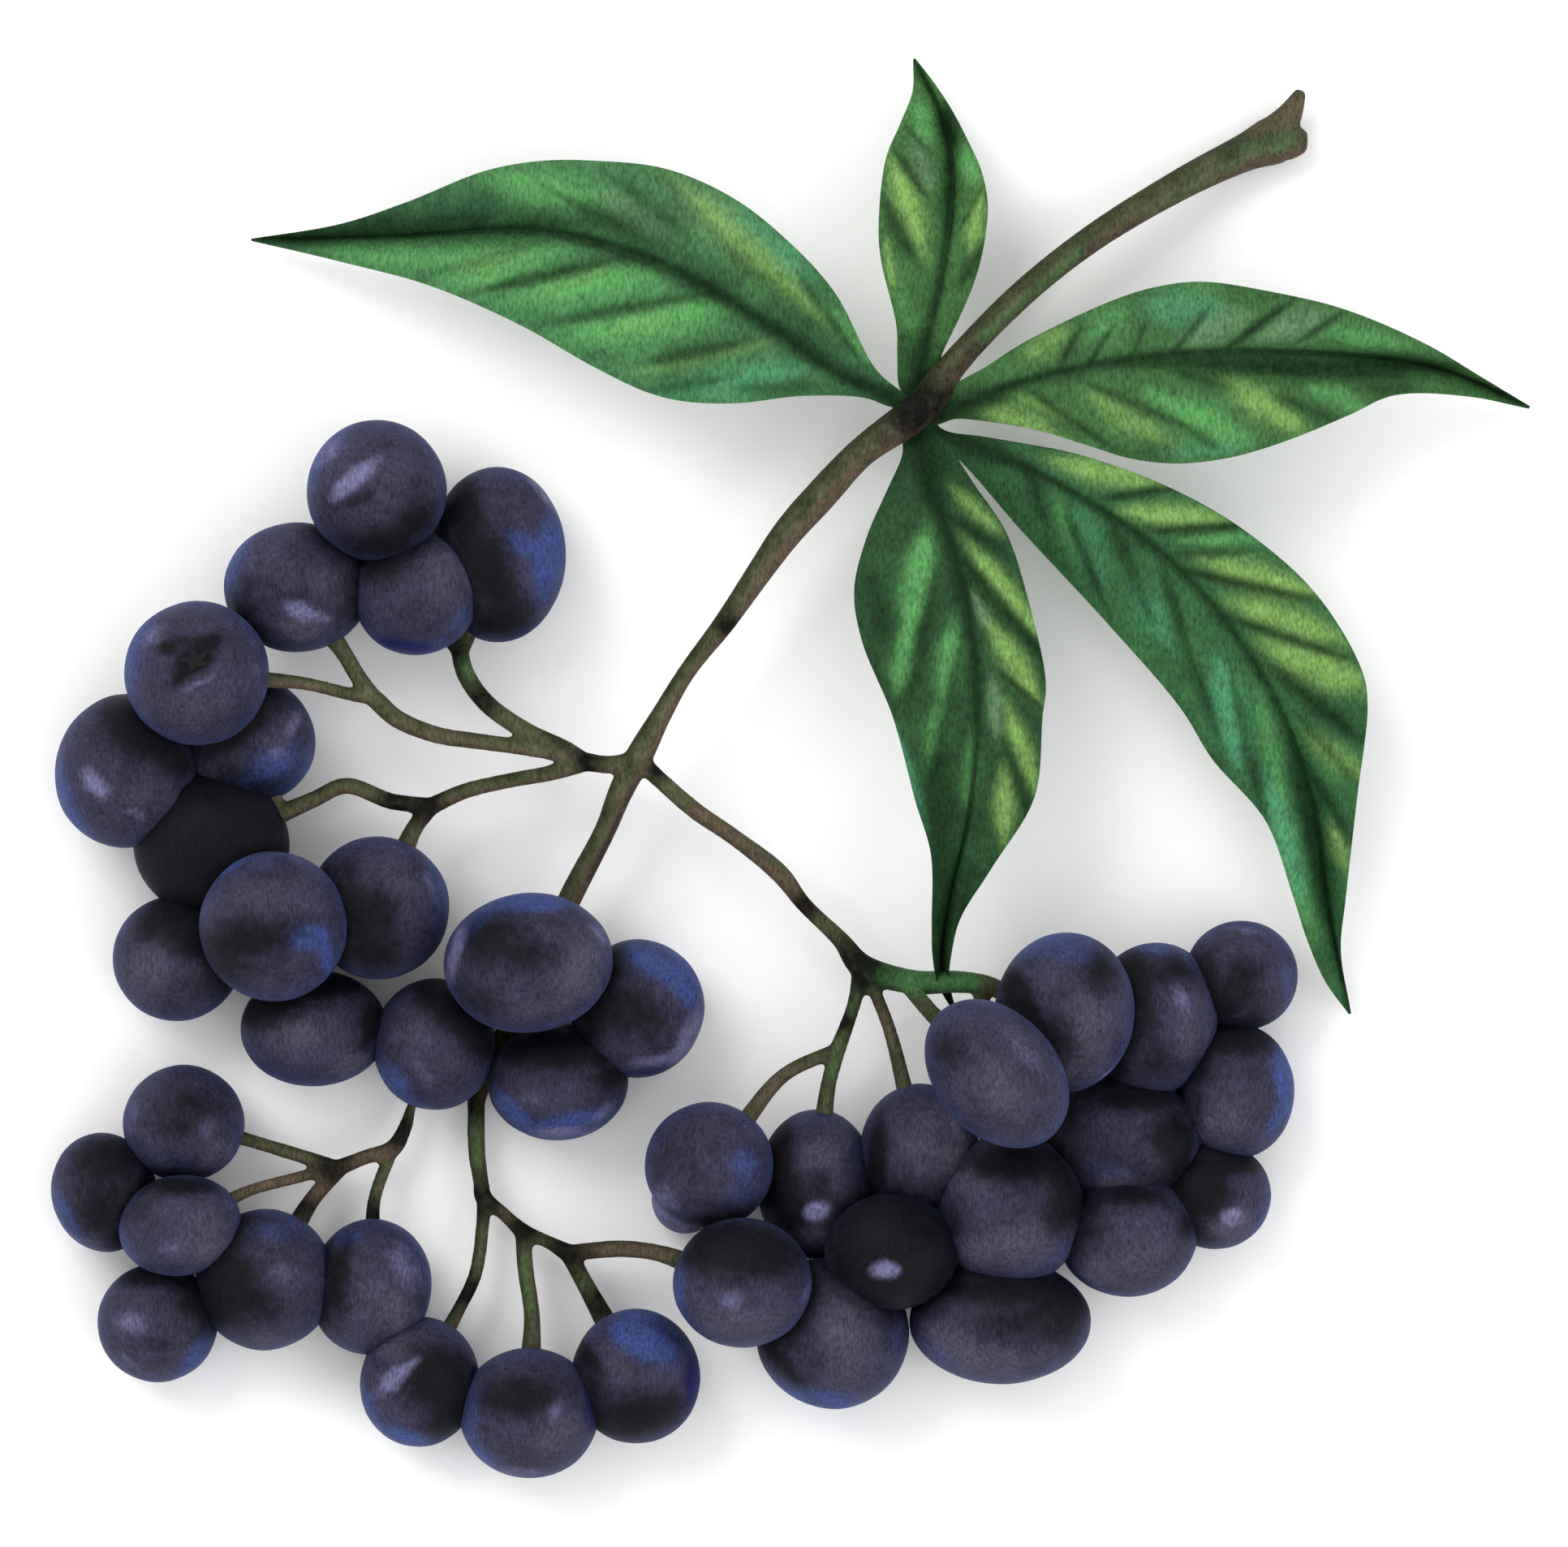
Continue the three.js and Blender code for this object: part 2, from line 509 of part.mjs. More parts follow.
// Named mesh of a solid, hung at a point of its own that the geometry is measured from.
function makeMesh(name, solid, anchor, material) {
  const geometry = toGeometry(solid);
  geometry.translate(-anchor.x, -anchor.y, -anchor.z);
  const mesh = new THREE.Mesh(geometry, material);
  mesh.name = name;
  mesh.position.copy(anchor);
  return mesh;
}

function material(colour, roughness) {
  return new THREE.MeshStandardMaterial({ color: colour, roughness, metalness: 0 });
}

const table = belowTable();
const berries = placeBerries();
const stem = stemSolid(berries, 0).subtract(table).simplify(0.02);
const stemWithGap = stemSolid(berries, JOINT_GAP);

const cluster = new THREE.Group();
const leafGroup = new THREE.Group();
const berryGroup = new THREE.Group();
cluster.add(makeMesh('stem', stem, onTable(56.7, 25.2, 0), material(COLOURS.stem, 0.6)));
cluster.add(leafGroup);
cluster.add(berryGroup);

for (const [name, leaf] of Object.entries(LEAVES)) {
  const blade = largestPiece(leafSolid(leaf).subtract(stemWithGap));
  const [u, v] = leaf.midrib[0];
  leafGroup.add(makeMesh(name, blade, onTable(u, v, 0), material(COLOURS.leaf, 0.5)));
}

for (const bunch of Object.keys(BUNCHES)) {
  const own = berries.filter((berry) => berry.bunch === bunch);
  const joined = joinAll(own.map(berrySolid)).subtract(table).subtract(stemWithGap);
  const anchor = new THREE.Vector3(own[0].x, own[0].y, 0);
  berryGroup.add(makeMesh(bunch, largestPiece(joined).simplify(0.02), anchor, material(COLOURS.berry, 0.35)));
}

export default cluster;
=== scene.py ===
"""Elderberry cluster with its stem and five leaves, lying on a pale table, seen from above.

Places are read on a plan sheet laid over the cluster, in millimetres: u to the right and
v down. Heights are millimetres above the table. Everything else is in metres.
"""

import math

import bmesh
import bpy
import numpy as np
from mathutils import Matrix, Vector


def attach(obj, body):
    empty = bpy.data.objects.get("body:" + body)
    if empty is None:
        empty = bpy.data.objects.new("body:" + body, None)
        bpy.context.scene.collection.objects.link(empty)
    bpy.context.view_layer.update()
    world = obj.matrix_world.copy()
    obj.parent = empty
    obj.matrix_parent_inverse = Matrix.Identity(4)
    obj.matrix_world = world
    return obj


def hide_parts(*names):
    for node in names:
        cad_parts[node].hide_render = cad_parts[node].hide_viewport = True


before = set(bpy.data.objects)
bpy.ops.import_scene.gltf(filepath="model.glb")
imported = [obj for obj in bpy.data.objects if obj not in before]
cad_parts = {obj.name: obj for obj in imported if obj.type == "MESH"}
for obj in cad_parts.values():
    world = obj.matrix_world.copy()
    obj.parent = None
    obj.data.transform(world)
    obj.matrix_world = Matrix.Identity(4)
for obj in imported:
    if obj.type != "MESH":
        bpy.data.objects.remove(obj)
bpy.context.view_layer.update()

MM = 0.001

# The sheet's point that lies at X = 0, Y = 0.
ORIGIN_U = 48.7
ORIGIN_V = 47.3

# Berries: depth and widening of a stalk's end, flattening and gap at the table, and the
# unevenness and grid of the skin.
STALK_SINK = 0.9
STALK_FLARE = 1.3
BERRY_FLAT = 0.14
BERRY_LIFT = 0.02
BERRY_UNEVEN = 0.045
BERRY_SEGMENTS = 56
BERRY_RINGS = 38

# How far apart berries lie in the noise that makes them uneven, per metre.
BERRY_APART = 900.0

# Painted shade darkens a berry near one that touches or covers it: less if both are level, more if the
# other is higher.
CONTACT_SHADE = 0.85
LEVEL_CONTACT_SHADE = 0.4
LEAST_CONTACT_SHADE = 0.15
RISE_PER_CONTACT_SHADE = 3.0
CONTACT_SHADE_FADE = 1.3
CONTACT_REACH = 2.0
SHADE = 0.85
SHADE_REACH = 2.6

# Share of the painted contact shade that light and pale marks, which are painted highlights, hold off,
# and the strengths of other tints: the painted shade of the dark side and the painted rim light of the
# blue edge.
MARK_KEPT = 0.7
SIDE_DARK = 0.75
EDGE_BLUE = 0.8

# The painted shade of the dark side and the blue side start this far from the middle. The blue edge, a
# painted rim light, lies where the skin is steep. Between two shares of its upward slope, each tint
# fades out to the underside.
DARK_FROM = 0.2
BLUE_FROM = 0.45
EDGE_STEEP = 0.78
EDGE_MOST = 0.55
EDGE_UPPER = (-0.36, 0.04)
MARK_UPPER = (-0.3, 0.1)
SHADE_UPPER = (-0.3, 0.2)

# The berry whose blossom end lies on top. The others hang theirs at least this steeply.
UPTURNED_BERRY = 5
UPTURNED_WAY = (0.0, 0.18, 0.98)
BLOSSOM_DROP = -0.6

# Dried blossoms: size of most and of the one on top, depth in the berry, and shape across,
# along and high.
CALYX = 0.62
UPTURNED_CALYX = 0.8
CALYX_SINK = 0.1
CALYX_SHAPE = (1.0, 0.8, 0.6)

# Leaves: the blade is thinner at its margin, with a rib below the midrib and a groove above
# it. The dark midrib is wider at the base and the tip. The blade rises from the midrib, then
# droops, and waves at its margin.
LEAF_THICKNESS = 0.45
LEAF_EDGE = 0.22
LEAF_RIB = 0.6
RIB_WIDTH = 0.09
MIDRIB_WIDTH = 0.46
BASE_WIDENING = 0.8
TIP_WIDENING = 0.6
GROOVE_DEPTH = 0.12
GROOVE_WIDTH = 0.07
LEAF_ROWS = 210
LEAF_HALF_COLUMNS = 34
VEIN_SWEEP = 0.55
VEIN_PUFF = 0.2
LEAF_CREST = 0.9
LEAF_DROOP = 1.5
LEAF_WAVE = 0.4
STROKE_SPREADS = {"dark": 1.15, "leafy": 1.3, "teal": 1.3, "grey": 1.3, "lime": 1.3}

# Stem: sides of a ray, steps between its points, grid that joins the rays, least height,
# and the way that the shaded side of the bark faces.
STEM_SIDES = 14
STEM_STEPS = 8
STEM_VOXEL = 0.17
STEM_LIFT = 0.03
SHADOW_WAY = (0.62, -0.62, -0.3)

# Radii out to which a knot or a painted tint reaches. It fades over the last radius. Thin
# stems get darker from the first Y to the second.
KNOT_REACH = 1.35
TINT_REACH = 1.6
THIN_FROM = (-0.6, -7.8)

# Least root of a gap between points of a curve.
LEAST_SPAN = 1e-4

# Share of a colour's light that a surface keeps, because the studio light is bright.
COLOUR_KEPT = 0.55

# Berries by bunch: number, u, v, half width, half height on the sheet, turn in degrees
# and the height of the centre.
BUNCHES = {
    "berries_upper_left": [
        [2, 30.7, 34.2, 4.2, 5.4, 0, 3.8],
        [4, 25.7, 36.6, 3.9, 3.8, 0, 5.3],
        [3, 18.4, 36.2, 4.5, 4, 0, 4.7],
        [1, 23.3, 30.3, 4.3, 4.32, 0, 6.7],
    ],
    "berries_left": [
        [8, 13.1, 52, 4.8, 4.5, 0, 4.1],
        [7, 15.3, 45.5, 4.25, 3.95, -20, 3.7],
        [6, 7.9, 47.5, 4.4, 4.75, -10, 4.4],
        [5, 12.3, 41.5, 4.45, 4.45, 0, 7.9],
        [9, 11, 59, 3.95, 3.9, 0, 3.8],
        [11, 23.4, 55.9, 4.35, 4.4, 0, 5.2],
        [10, 17, 57, 4.55, 4.6, 0, 8.4],
    ],
    "berries_centre": [
        [12, 19.4, 63.3, 4.5, 3.6, 0, 3.7],
        [13, 26.8, 64.3, 3.75, 4.05, 0, 3.9],
        [15, 39.3, 62.1, 4.1, 4.25, -15, 3.9],
        [16, 34.4, 66.6, 4.35, 3.6, 0, 3.7],
        [14, 32.6, 59.25, 5.2, 4.3, 5, 7.7],
    ],
    "berries_lower_left": [
        [17, 11.4, 69.15, 3.75, 3.6, 0, 3.6],
        [18, 6.5, 73.4, 3.25, 3.7, 10, 3.2],
        [20, 9.8, 81.4, 3.7, 3.65, 0, 3.5],
        [22, 22.9, 79.2, 3.75, 4.2, -10, 3.6],
        [21, 16.4, 78.75, 4.25, 4.35, 0, 4],
        [19, 11.2, 75.4, 3.8, 3.1, 10, 5.4],
        [23, 25.9, 85.05, 3.65, 4, -10, 3.6],
        [25, 39.2, 84.7, 3.95, 4.15, 0, 3.8],
        [24, 32.65, 86.95, 4.3, 4, 0, 4.1],
    ],
    "berries_right": [
        [27, 42.25, 73.85, 2.1, 2.1, 0, 2],
        [41, 51.3, 82, 4.7, 4.7, 0, 4.5],
        [42, 61.6, 81.3, 5.6, 3.85, 0, 4.4],
        [28, 50.3, 72.9, 3.65, 4.6, 0, 3.8],
        [26, 43.7, 71.7, 3.95, 3.9, 0, 6.2],
        [29, 56.65, 70.75, 3.65, 4.05, 0, 4.6],
        [37, 69.4, 76, 4.3, 3.8, 0, 4.3],
        [36, 74.8, 73.6, 3.45, 3.3, 0, 3.1],
        [35, 68.9, 70.1, 5, 4.1, 0, 3.8],
        [34, 76.15, 67.15, 3.5, 4.15, 0, 3.6],
        [33, 76.4, 60.1, 3.5, 3.4, 0, 3.3],
        [32, 70.9, 62.75, 4.05, 4.75, -10, 4.2],
        [38, 62.2, 74.4, 4.55, 4.75, 0, 5.4],
        [40, 45.75, 78.85, 4.25, 4, 0, 8.1],
        [39, 54.9, 77, 4.1, 3.6, 0, 6.4],
        [31, 65.5, 62.3, 4.3, 4.95, -5, 8.2],
        [30, 61.3, 66, 5.15, 3.75, -48, 12.3],
    ],
}

# How each berry's skin is tinted as a whole: the side that is darkest, with painted shade, and the side
# that is bluest, with the bloom's blue and painted rim light, in degrees counted from +X towards +Y, and
# how strong each is.
SKINS = {
    1: [-60, 0.4, 150, 0.8],
    2: [180, 0.7, -5, 0.7],
    3: [100, 0.1, 165, 0.9],
    4: [130, 0.5, -80, 0.7],
    5: [60, 0, 165, 0.9],
    6: [50, 0.6, 205, 1],
    7: [150, 0.7, -40, 0.8],
    8: [60, 1.5, 200, 0.2],
    9: [40, 0.6, -60, 0.3],
    10: [200, 0.2, 130, 0.4],
    11: [200, 0.4, 5, 0.9],
    12: [80, 0.8, -100, 0.6],
    13: [60, 0.7, 225, 1],
    14: [160, 0.2, 95, 1],
    15: [180, 0.7, 40, 1],
    16: [90, 0.8, -75, 1],
    17: [100, 0.3, 170, 0.5],
    18: [40, 0.7, 215, 0.9],
    19: [80, 0.4, 210, 0.6],
    20: [50, 0.5, -40, 0.8],
    21: [215, 0.5, 70, 0.5],
    22: [180, 0.6, 30, 0.7],
    23: [-20, 0.6, 225, 0.9],
    24: [110, 0.2, 215, 0.8],
    25: [-110, 0.7, 60, 1],
    26: [110, 0, -10, 0.5],
    27: [60, 0, 200, 0.6],
    28: [190, 0.7, 20, 0.6],
    29: [190, 0.6, 60, 0.6],
    30: [170, 0.3, 20, 0.2],
    31: [200, 0.4, 100, 0.8],
    32: [200, 0.5, 75, 0.7],
    33: [200, 0.5, 60, 0.6],
    34: [100, 0.5, 10, 1],
    35: [70, 0.7, -80, 0.5],
    36: [150, 0.8, -20, 0.6],
    37: [60, 0.3, -60, 0.3],
    38: [70, 0.7, -60, 0.5],
    39: [60, 1.2, -60, 0.2],
    40: [80, 0.6, 185, 0.7],
    41: [100, 0.4, -105, 0.9],
    42: [50, 0.6, -140, 0.5],
}

# Marks on each berry, by kind: dark ones are painted shade, light and pale ones painted highlights, blue
# ones the bloom's blue with painted bluish highlights, deep ones deep-blue strokes. Each is u, v, half
# length, half width, the direction of its length in degrees counted from +X towards +Y, and its
# strength.
MARKS = {
    1: {"pale": [[20.4, 28, 1.2, 0.5, 50, 0.6], [22.1, 29.5, 1.5, 0.5, 38, 0.95],
            [21.2, 30.4, 0.6, 0.3, 60, 0.6]],
        "dark": [[20.4, 31, 0.6, 0.9, 0, 0.4], [22.2, 30.9, 1, 0.35, 20, 0.7],
            [25.7, 32.1, 1.2, 0.9, 30, 0.9], [23.4, 33.6, 2.4, 0.9, 0, 0.9]],
        "light": [[24.3, 29.6, 1.6, 1.2, 0, 0.3]]},
    2: {"dark": [[30.5, 34.6, 1.3, 2.4, 0, 0.6], [28.8, 31.6, 2.6, 0.8, 95, 1],
            [30.2, 35.2, 2.8, 0.9, -62, 1], [30.8, 38.4, 2, 0.8, 10, 0.9]],
        "blue": [[34, 34.2, 2.4, 0.8, 80, 1.2], [32.3, 33.6, 1.2, 0.6, -25, 0.9]],
        "pale": [[33.5, 30.4, 1.8, 0.3, -50, 0.7]], "deep": [[32.2, 39.1, 1.8, 0.4, 25, 1]]},
    3: {"light": [[18.6, 38.9, 1.4, 0.6, 0, 0.9], [20.6, 36, 1.3, 1.3, 0, 0.45]],
        "pale": [[18.6, 37.7, 0.9, 0.5, -25, 0.85], [20.1, 38.1, 0.6, 0.35, -10, 0.5],
            [15.6, 34.7, 0.4, 0.6, 0, 0.35], [22.6, 36.1, 0.9, 0.15, -75, 0.5]],
        "dark": [[15.3, 36.4, 1, 0.6, 70, 0.5], [18.2, 36.7, 1, 0.3, 0, 0.45]]},
    4: {"dark": [[23.6, 34.6, 1.4, 1.2, 0, 1]], "light": [[27.7, 35.2, 1.4, 1.6, 0, 0.7]],
        "deep": [[25.1, 39.9, 2.4, 0.4, -8, 1]], "blue": [[28.4, 38.2, 1, 0.5, 50, 0.6]]},
    5: {"pale": [[9.6, 39.3, 0.9, 0.5, 40, 0.55], [12.6, 42.1, 1, 0.2, 28, 0.6],
            [16.1, 41.3, 0.5, 0.6, 0, 0.4]],
        "dark": [[12.2, 40.8, 1, 0.55, 25, 1.5], [10.6, 40, 0.45, 0.3, 0, 1.1],
            [11.3, 41.9, 0.5, 0.25, 40, 1.1], [13.1, 39.7, 0.8, 0.4, 30, 1],
            [11.6, 39.6, 1.3, 0.4, 10, 0.6]], "light": [[12.1, 43.6, 1.8, 0.9, 0, 0.5]]},
    6: {"dark": [[8.3, 44.6, 2, 1.6, -45, 1.1], [10.6, 46.4, 1.8, 0.9, -45, 1]],
        "pale": [[6.1, 48.3, 1.1, 0.48, -45, 0.9], [8.6, 50.1, 0.6, 0.28, -20, 0.6]],
        "light": [[9, 48.6, 1.4, 1, 0, 0.4]]},
    7: {"light": [[12.8, 47.6, 0.9, 0.8, 0, 0.6], [16.8, 45.2, 0.9, 0.7, 0, 0.4]],
        "dark": [[14.9, 45.2, 2.6, 0.6, 35, 1]],
        "pale": [[18.2, 44.6, 1, 0.35, 60, 0.6], [17.1, 46.4, 0.6, 0.4, 30, 0.5]],
        "blue": [[16.4, 47.6, 2.4, 0.9, 30, 0.9]], "deep": [[14.2, 48.9, 1.2, 0.5, -20, 0.7]]},
    8: {"dark": [[13.1, 52, 5.5, 5, 0, 1.6]]},
    9: {"dark": [[12.6, 57, 1.8, 1.4, -30, 1.3], [9.4, 57.1, 1.2, 0.9, 45, 0.6],
            [11.4, 56.6, 2.4, 1.2, -40, 1], [13.2, 60.4, 1, 0.5, 40, 0.6]],
        "light": [[9.2, 59.8, 1.3, 1.6, 0, 0.6]], "deep": [[13.2, 62, 1.2, 0.3, 35, 0.6]]},
    10: {"dark": [[15.6, 57.7, 3, 1.2, 5, 0.9], [14, 59.6, 1.3, 1.1, 0, 0.7]],
        "blue": [[19.2, 57.7, 0.9, 0.55, 10, 1.8], [20.3, 58.8, 0.9, 0.3, -80, 1.6],
            [14.6, 53.2, 1, 0.3, 30, 1]], "pale": [[18.8, 52.9, 1.4, 0.35, -15, 0.4]],
        "light": [[16.6, 55, 2, 1, 0, 0.4], [15.4, 60.2, 1.6, 0.6, 0, 0.3]]},
    11: {"dark": [[23.2, 56.2, 1.5, 1.4, 0, 0.9], [22, 55.6, 2.6, 0.6, -80, 0.8],
            [23.4, 58.6, 1.5, 1, 0, 0.9]], "light": [[24.5, 54.8, 0.9, 1.6, 0, 0.4]],
        "pale": [[26.6, 54.6, 1.4, 0.3, -65, 0.4]]},
    12: {"dark": [[16.9, 61.4, 1.8, 1.2, 30, 1.2], [19.3, 60.6, 3.8, 0.8, 5, 1.2],
            [15.7, 62.1, 0.9, 1, 0, 0.8], [23, 62.8, 1.6, 0.6, 80, 1.1]],
        "light": [[22, 65.4, 1.3, 0.8, 30, 0.8], [18.6, 63.5, 1.2, 0.9, 0, 0.9]]},
    13: {"blue": [[24.6, 66.6, 1.4, 0.5, -50, 0.9]],
        "dark": [[29, 61.9, 1.3, 1, -40, 1], [27.4, 61.5, 2, 1.2, -40, 1.1],
            [29.6, 63.9, 1.4, 0.8, -60, 1]], "pale": [[26.2, 66, 1.1, 0.6, -50, 0.4]],
        "light": [[25.6, 63.6, 0.9, 1.2, 0, 0.3]]},
    14: {"blue": [[29.4, 56.9, 1.6, 0.5, 45, 0.9], [32.2, 55.6, 2.6, 0.45, 0, 1.2]],
        "dark": [[29.6, 61.6, 1.6, 0.9, -30, 0.6], [30.3, 57.7, 1.8, 1.3, 20, 0.9],
            [32.8, 58.8, 1.6, 1, 0, 0.7]],
        "pale": [[28.2, 58.5, 2, 0.4, 75, 0.7], [37, 57.5, 0.9, 0.28, -50, 0.6]],
        "light": [[35.9, 60, 1.4, 2.2, 0, 0.8], [32.4, 62.2, 2.4, 0.6, 0, 0.3]]},
    15: {"dark": [[39.2, 62, 1.4, 1.3, 0, 0.7], [36.8, 62.4, 2.2, 1, 70, 0.9],
            [39.8, 63.2, 1.4, 1.2, 0, 0.5]],
        "blue": [[40.4, 59.3, 2.4, 0.7, -30, 1.1], [42.3, 61, 1.2, 0.5, -60, 1]],
        "pale": [[42.5, 63.8, 1.8, 0.6, 65, 0.8], [40.3, 65.3, 1.6, 0.4, 10, 0.6]],
        "deep": [[39.6, 66, 1.4, 0.25, 5, 0.9]]},
    16: {"blue": [[31.8, 68.6, 1.2, 0.45, -40, 1], [35.4, 69, 2.4, 0.5, 10, 1],
            [31.2, 67.9, 1, 0.4, -50, 0.9]],
        "dark": [[33.6, 64.5, 3, 1.2, 0, 1.2], [37.8, 66.3, 1, 0.8, 0, 1]],
        "pale": [[34.6, 69.7, 1.6, 0.35, 0, 0.8], [32.6, 67.5, 1.2, 0.6, -20, 0.35],
            [37.2, 68.5, 0.9, 0.4, 45, 0.6]]},
    17: {"light": [[13.6, 71, 1.1, 0.8, 30, 0.8]],
        "dark": [[11.8, 67.8, 2, 0.8, 0, 0.7], [11.2, 69.4, 1.6, 0.8, 0, 0.6]],
        "pale": [[12.9, 69.4, 0.9, 0.6, 30, 0.4], [8.4, 68.5, 1.5, 0.35, 80, 0.35]],
        "blue": [[11, 71.6, 2, 0.6, -10, 0.4]]},
    18: {"dark": [[6.6, 73.6, 1.3, 1.2, 0, 0.7], [6.8, 71.3, 2, 1.2, 0, 1.1],
            [6.5, 75, 1.6, 0.9, 0, 0.8]], "blue": [[4.2, 74.7, 1.8, 0.45, -60, 0.8]],
        "pale": [[5.6, 76.5, 1.2, 0.35, -20, 0.4]]},
    19: {"light": [[13.4, 77, 1.1, 0.7, 30, 0.9], [12.8, 75.4, 1.2, 1.2, 0, 0.5]],
        "dark": [[10.8, 72.9, 2.6, 0.5, 0, 1], [8.7, 74.3, 1, 0.9, 0, 0.4]],
        "pale": [[10.7, 76.8, 0.9, 0.5, 0, 0.45]]},
    20: {"dark": [[9.3, 78.4, 1.8, 0.7, 0, 1.1], [12.1, 80, 1.4, 0.9, -50, 1],
            [9.9, 82.7, 1.2, 0.4, -15, 0.5]],
        "pale": [[8.3, 81.3, 1, 0.75, -20, 0.6], [8.1, 83.8, 1.2, 0.4, -35, 0.4]],
        "blue": [[12.3, 83.1, 1.6, 0.4, 55, 0.9]]},
    21: {"dark": [[14.4, 78.4, 1.4, 1.6, 0, 1.1], [13.2, 80.2, 1.6, 1.2, 0, 1],
            [16.2, 80.3, 1.6, 0.9, 0, 0.7]], "pale": [[17.6, 78.3, 1, 0.8, 0, 0.4]],
        "blue": [[17, 75.7, 2.2, 0.6, 0, 0.5]], "light": [[16.6, 82.4, 1.4, 0.4, 0, 0.6]]},
    22: {"light": [[25.2, 81.6, 0.9, 1.2, 30, 0.9], [23.4, 80, 1.4, 1.4, 0, 0.4]],
        "dark": [[21, 78.4, 2.4, 0.7, 80, 1]], "blue": [[21.4, 76.2, 1, 0.5, 20, 0.8]],
        "pale": [[25, 77.9, 1.8, 0.8, -60, 0.5]]},
    23: {"light": [[23.8, 82.6, 1, 0.8, 0, 0.8], [25.4, 82.4, 1.6, 0.6, 0, 0.4]],
        "dark": [[27, 84.7, 1.8, 1.6, 0, 1.2], [27.8, 87, 1.4, 0.9, 60, 1]],
        "pale": [[24.3, 84.8, 1.1, 0.48, 45, 0.9], [25.6, 83.8, 0.6, 0.25, 40, 0.5]],
        "blue": [[24.9, 88.4, 2, 0.5, -15, 1], [22.7, 86.3, 1.5, 0.4, -65, 0.8]]},
    24: {"dark": [[32, 85.9, 2.2, 1.1, 0, 1]],
        "pale": [[34.3, 86.7, 0.9, 0.5, 60, 0.5], [32, 90.5, 1.6, 0.35, 0, 0.5]],
        "light": [[34.4, 88.4, 1.6, 0.9, 30, 0.6]],
        "blue": [[29.2, 86.6, 2.2, 0.5, 85, 0.6], [29.9, 89.7, 1.2, 0.3, -40, 0.9]],
        "deep": [[36.4, 85.8, 2.4, 0.4, 95, 0.9]]},
    25: {"blue": [[39.7, 82.5, 1.7, 0.75, -25, 1.7], [39.8, 81, 2, 0.3, -10, 1]],
        "deep": [[42.7, 85, 2.4, 0.4, 85, 1]],
        "dark": [[36.2, 83.4, 1.3, 0.5, -50, 1], [38, 87.6, 2, 0.8, 0, 1.1], [40.1, 86.6, 2, 1, 0, 0.9]],
        "light": [[38.6, 84.2, 1.6, 0.5, 0, 0.4]]},
    26: {"pale": [[41, 73.6, 1, 0.7, -45, 0.6]],
        "blue": [[45.9, 71.5, 0.8, 0.8, 0, 0.8], [45.6, 73.5, 1.4, 0.7, 30, 0.5]],
        "dark": [[42.2, 70.6, 1.6, 1.4, 0, 0.35], [44.2, 75, 1.6, 0.4, 0, 0.9]]},
    27: {"pale": [[41.3, 74.7, 1.4, 1, -40, 1.3]]},
    28: {"light": [[52.2, 70, 0.9, 0.9, 0, 0.6], [50.8, 76.1, 1.1, 0.7, 0, 0.8],
            [50.6, 71.4, 1.2, 1.8, 0, 0.4]],
        "dark": [[50.4, 72.8, 1, 1.1, 0, 0.7], [48.1, 71.5, 2.8, 0.7, 88, 1.1],
            [48.4, 74.4, 1.3, 1.2, 0, 1.2]], "blue": [[53, 71, 1.8, 0.35, -85, 0.7]],
        "pale": [[50.3, 74.5, 0.6, 0.45, 10, 1.3]]},
    29: {"light": [[58.4, 68.6, 1.2, 1.3, 0, 1], [58.9, 71.2, 0.9, 1.4, 0, 1],
            [56.6, 71, 1.2, 2, 0, 0.4]], "dark": [[54, 71.6, 2.8, 0.6, 88, 1.1]],
        "blue": [[57.4, 67.2, 1.1, 0.3, -30, 0.8]], "pale": [[58.7, 69.2, 1.6, 0.45, -60, 0.45]]},
    30: {"dark": [[58.5, 64.4, 1.3, 1, -40, 0.6]], "pale": [[63, 64.6, 2.2, 0.55, -52, 0.45]],
        "light": [[61.4, 66.8, 1.8, 1.4, -40, 0.7]]},
    31: {"dark": [[67.7, 59.7, 1, 1.3, 0, 0.8], [62.6, 61.2, 1.8, 0.8, -60, 1.1],
            [64, 63.8, 1.6, 0.5, -60, 0.9]],
        "light": [[65.4, 66, 1.3, 0.8, 0, 0.8], [66.8, 63.2, 1.2, 2.2, 0, 0.7]],
        "blue": [[66, 58.6, 2.4, 0.7, -5, 0.6]], "pale": [[68.1, 66.3, 0.9, 0.2, 42, 1]]},
    32: {"dark": [[69.6, 59.9, 1.3, 1.2, 0, 0.9], [72.4, 59.7, 1.1, 0.9, 0, 0.8],
            [68.4, 62.8, 0.8, 1.3, 0, 0.5], [70, 61, 2.4, 0.5, -70, 0.9], [71, 65.4, 1.5, 0.9, 0, 0.6]],
        "pale": [[72.7, 61.6, 1.4, 0.5, -65, 0.5]], "light": [[73.2, 63.9, 0.8, 1.2, 0, 0.5]],
        "blue": [[70.7, 58.4, 1.5, 0.3, -10, 0.8]]},
    33: {"dark": [[76.4, 60.2, 1.3, 1.2, 0, 0.8], [73.9, 60.2, 2.2, 0.7, -55, 1],
            [75.6, 61.8, 1.3, 0.8, 0, 0.6]], "pale": [[76.9, 57.3, 1.6, 0.3, -10, 0.4]],
        "blue": [[79.2, 60.6, 1.6, 0.4, -80, 0.5]]},
    34: {"light": [[74.4, 69.6, 1, 0.9, 0, 0.9], [75.6, 68.6, 1.5, 1.2, 0, 0.6]],
        "dark": [[76, 63.9, 2.4, 0.9, 0, 1.2]],
        "blue": [[79, 66.4, 1.7, 0.5, -80, 1.3], [78.5, 69, 1, 0.4, 60, 0.8]]},
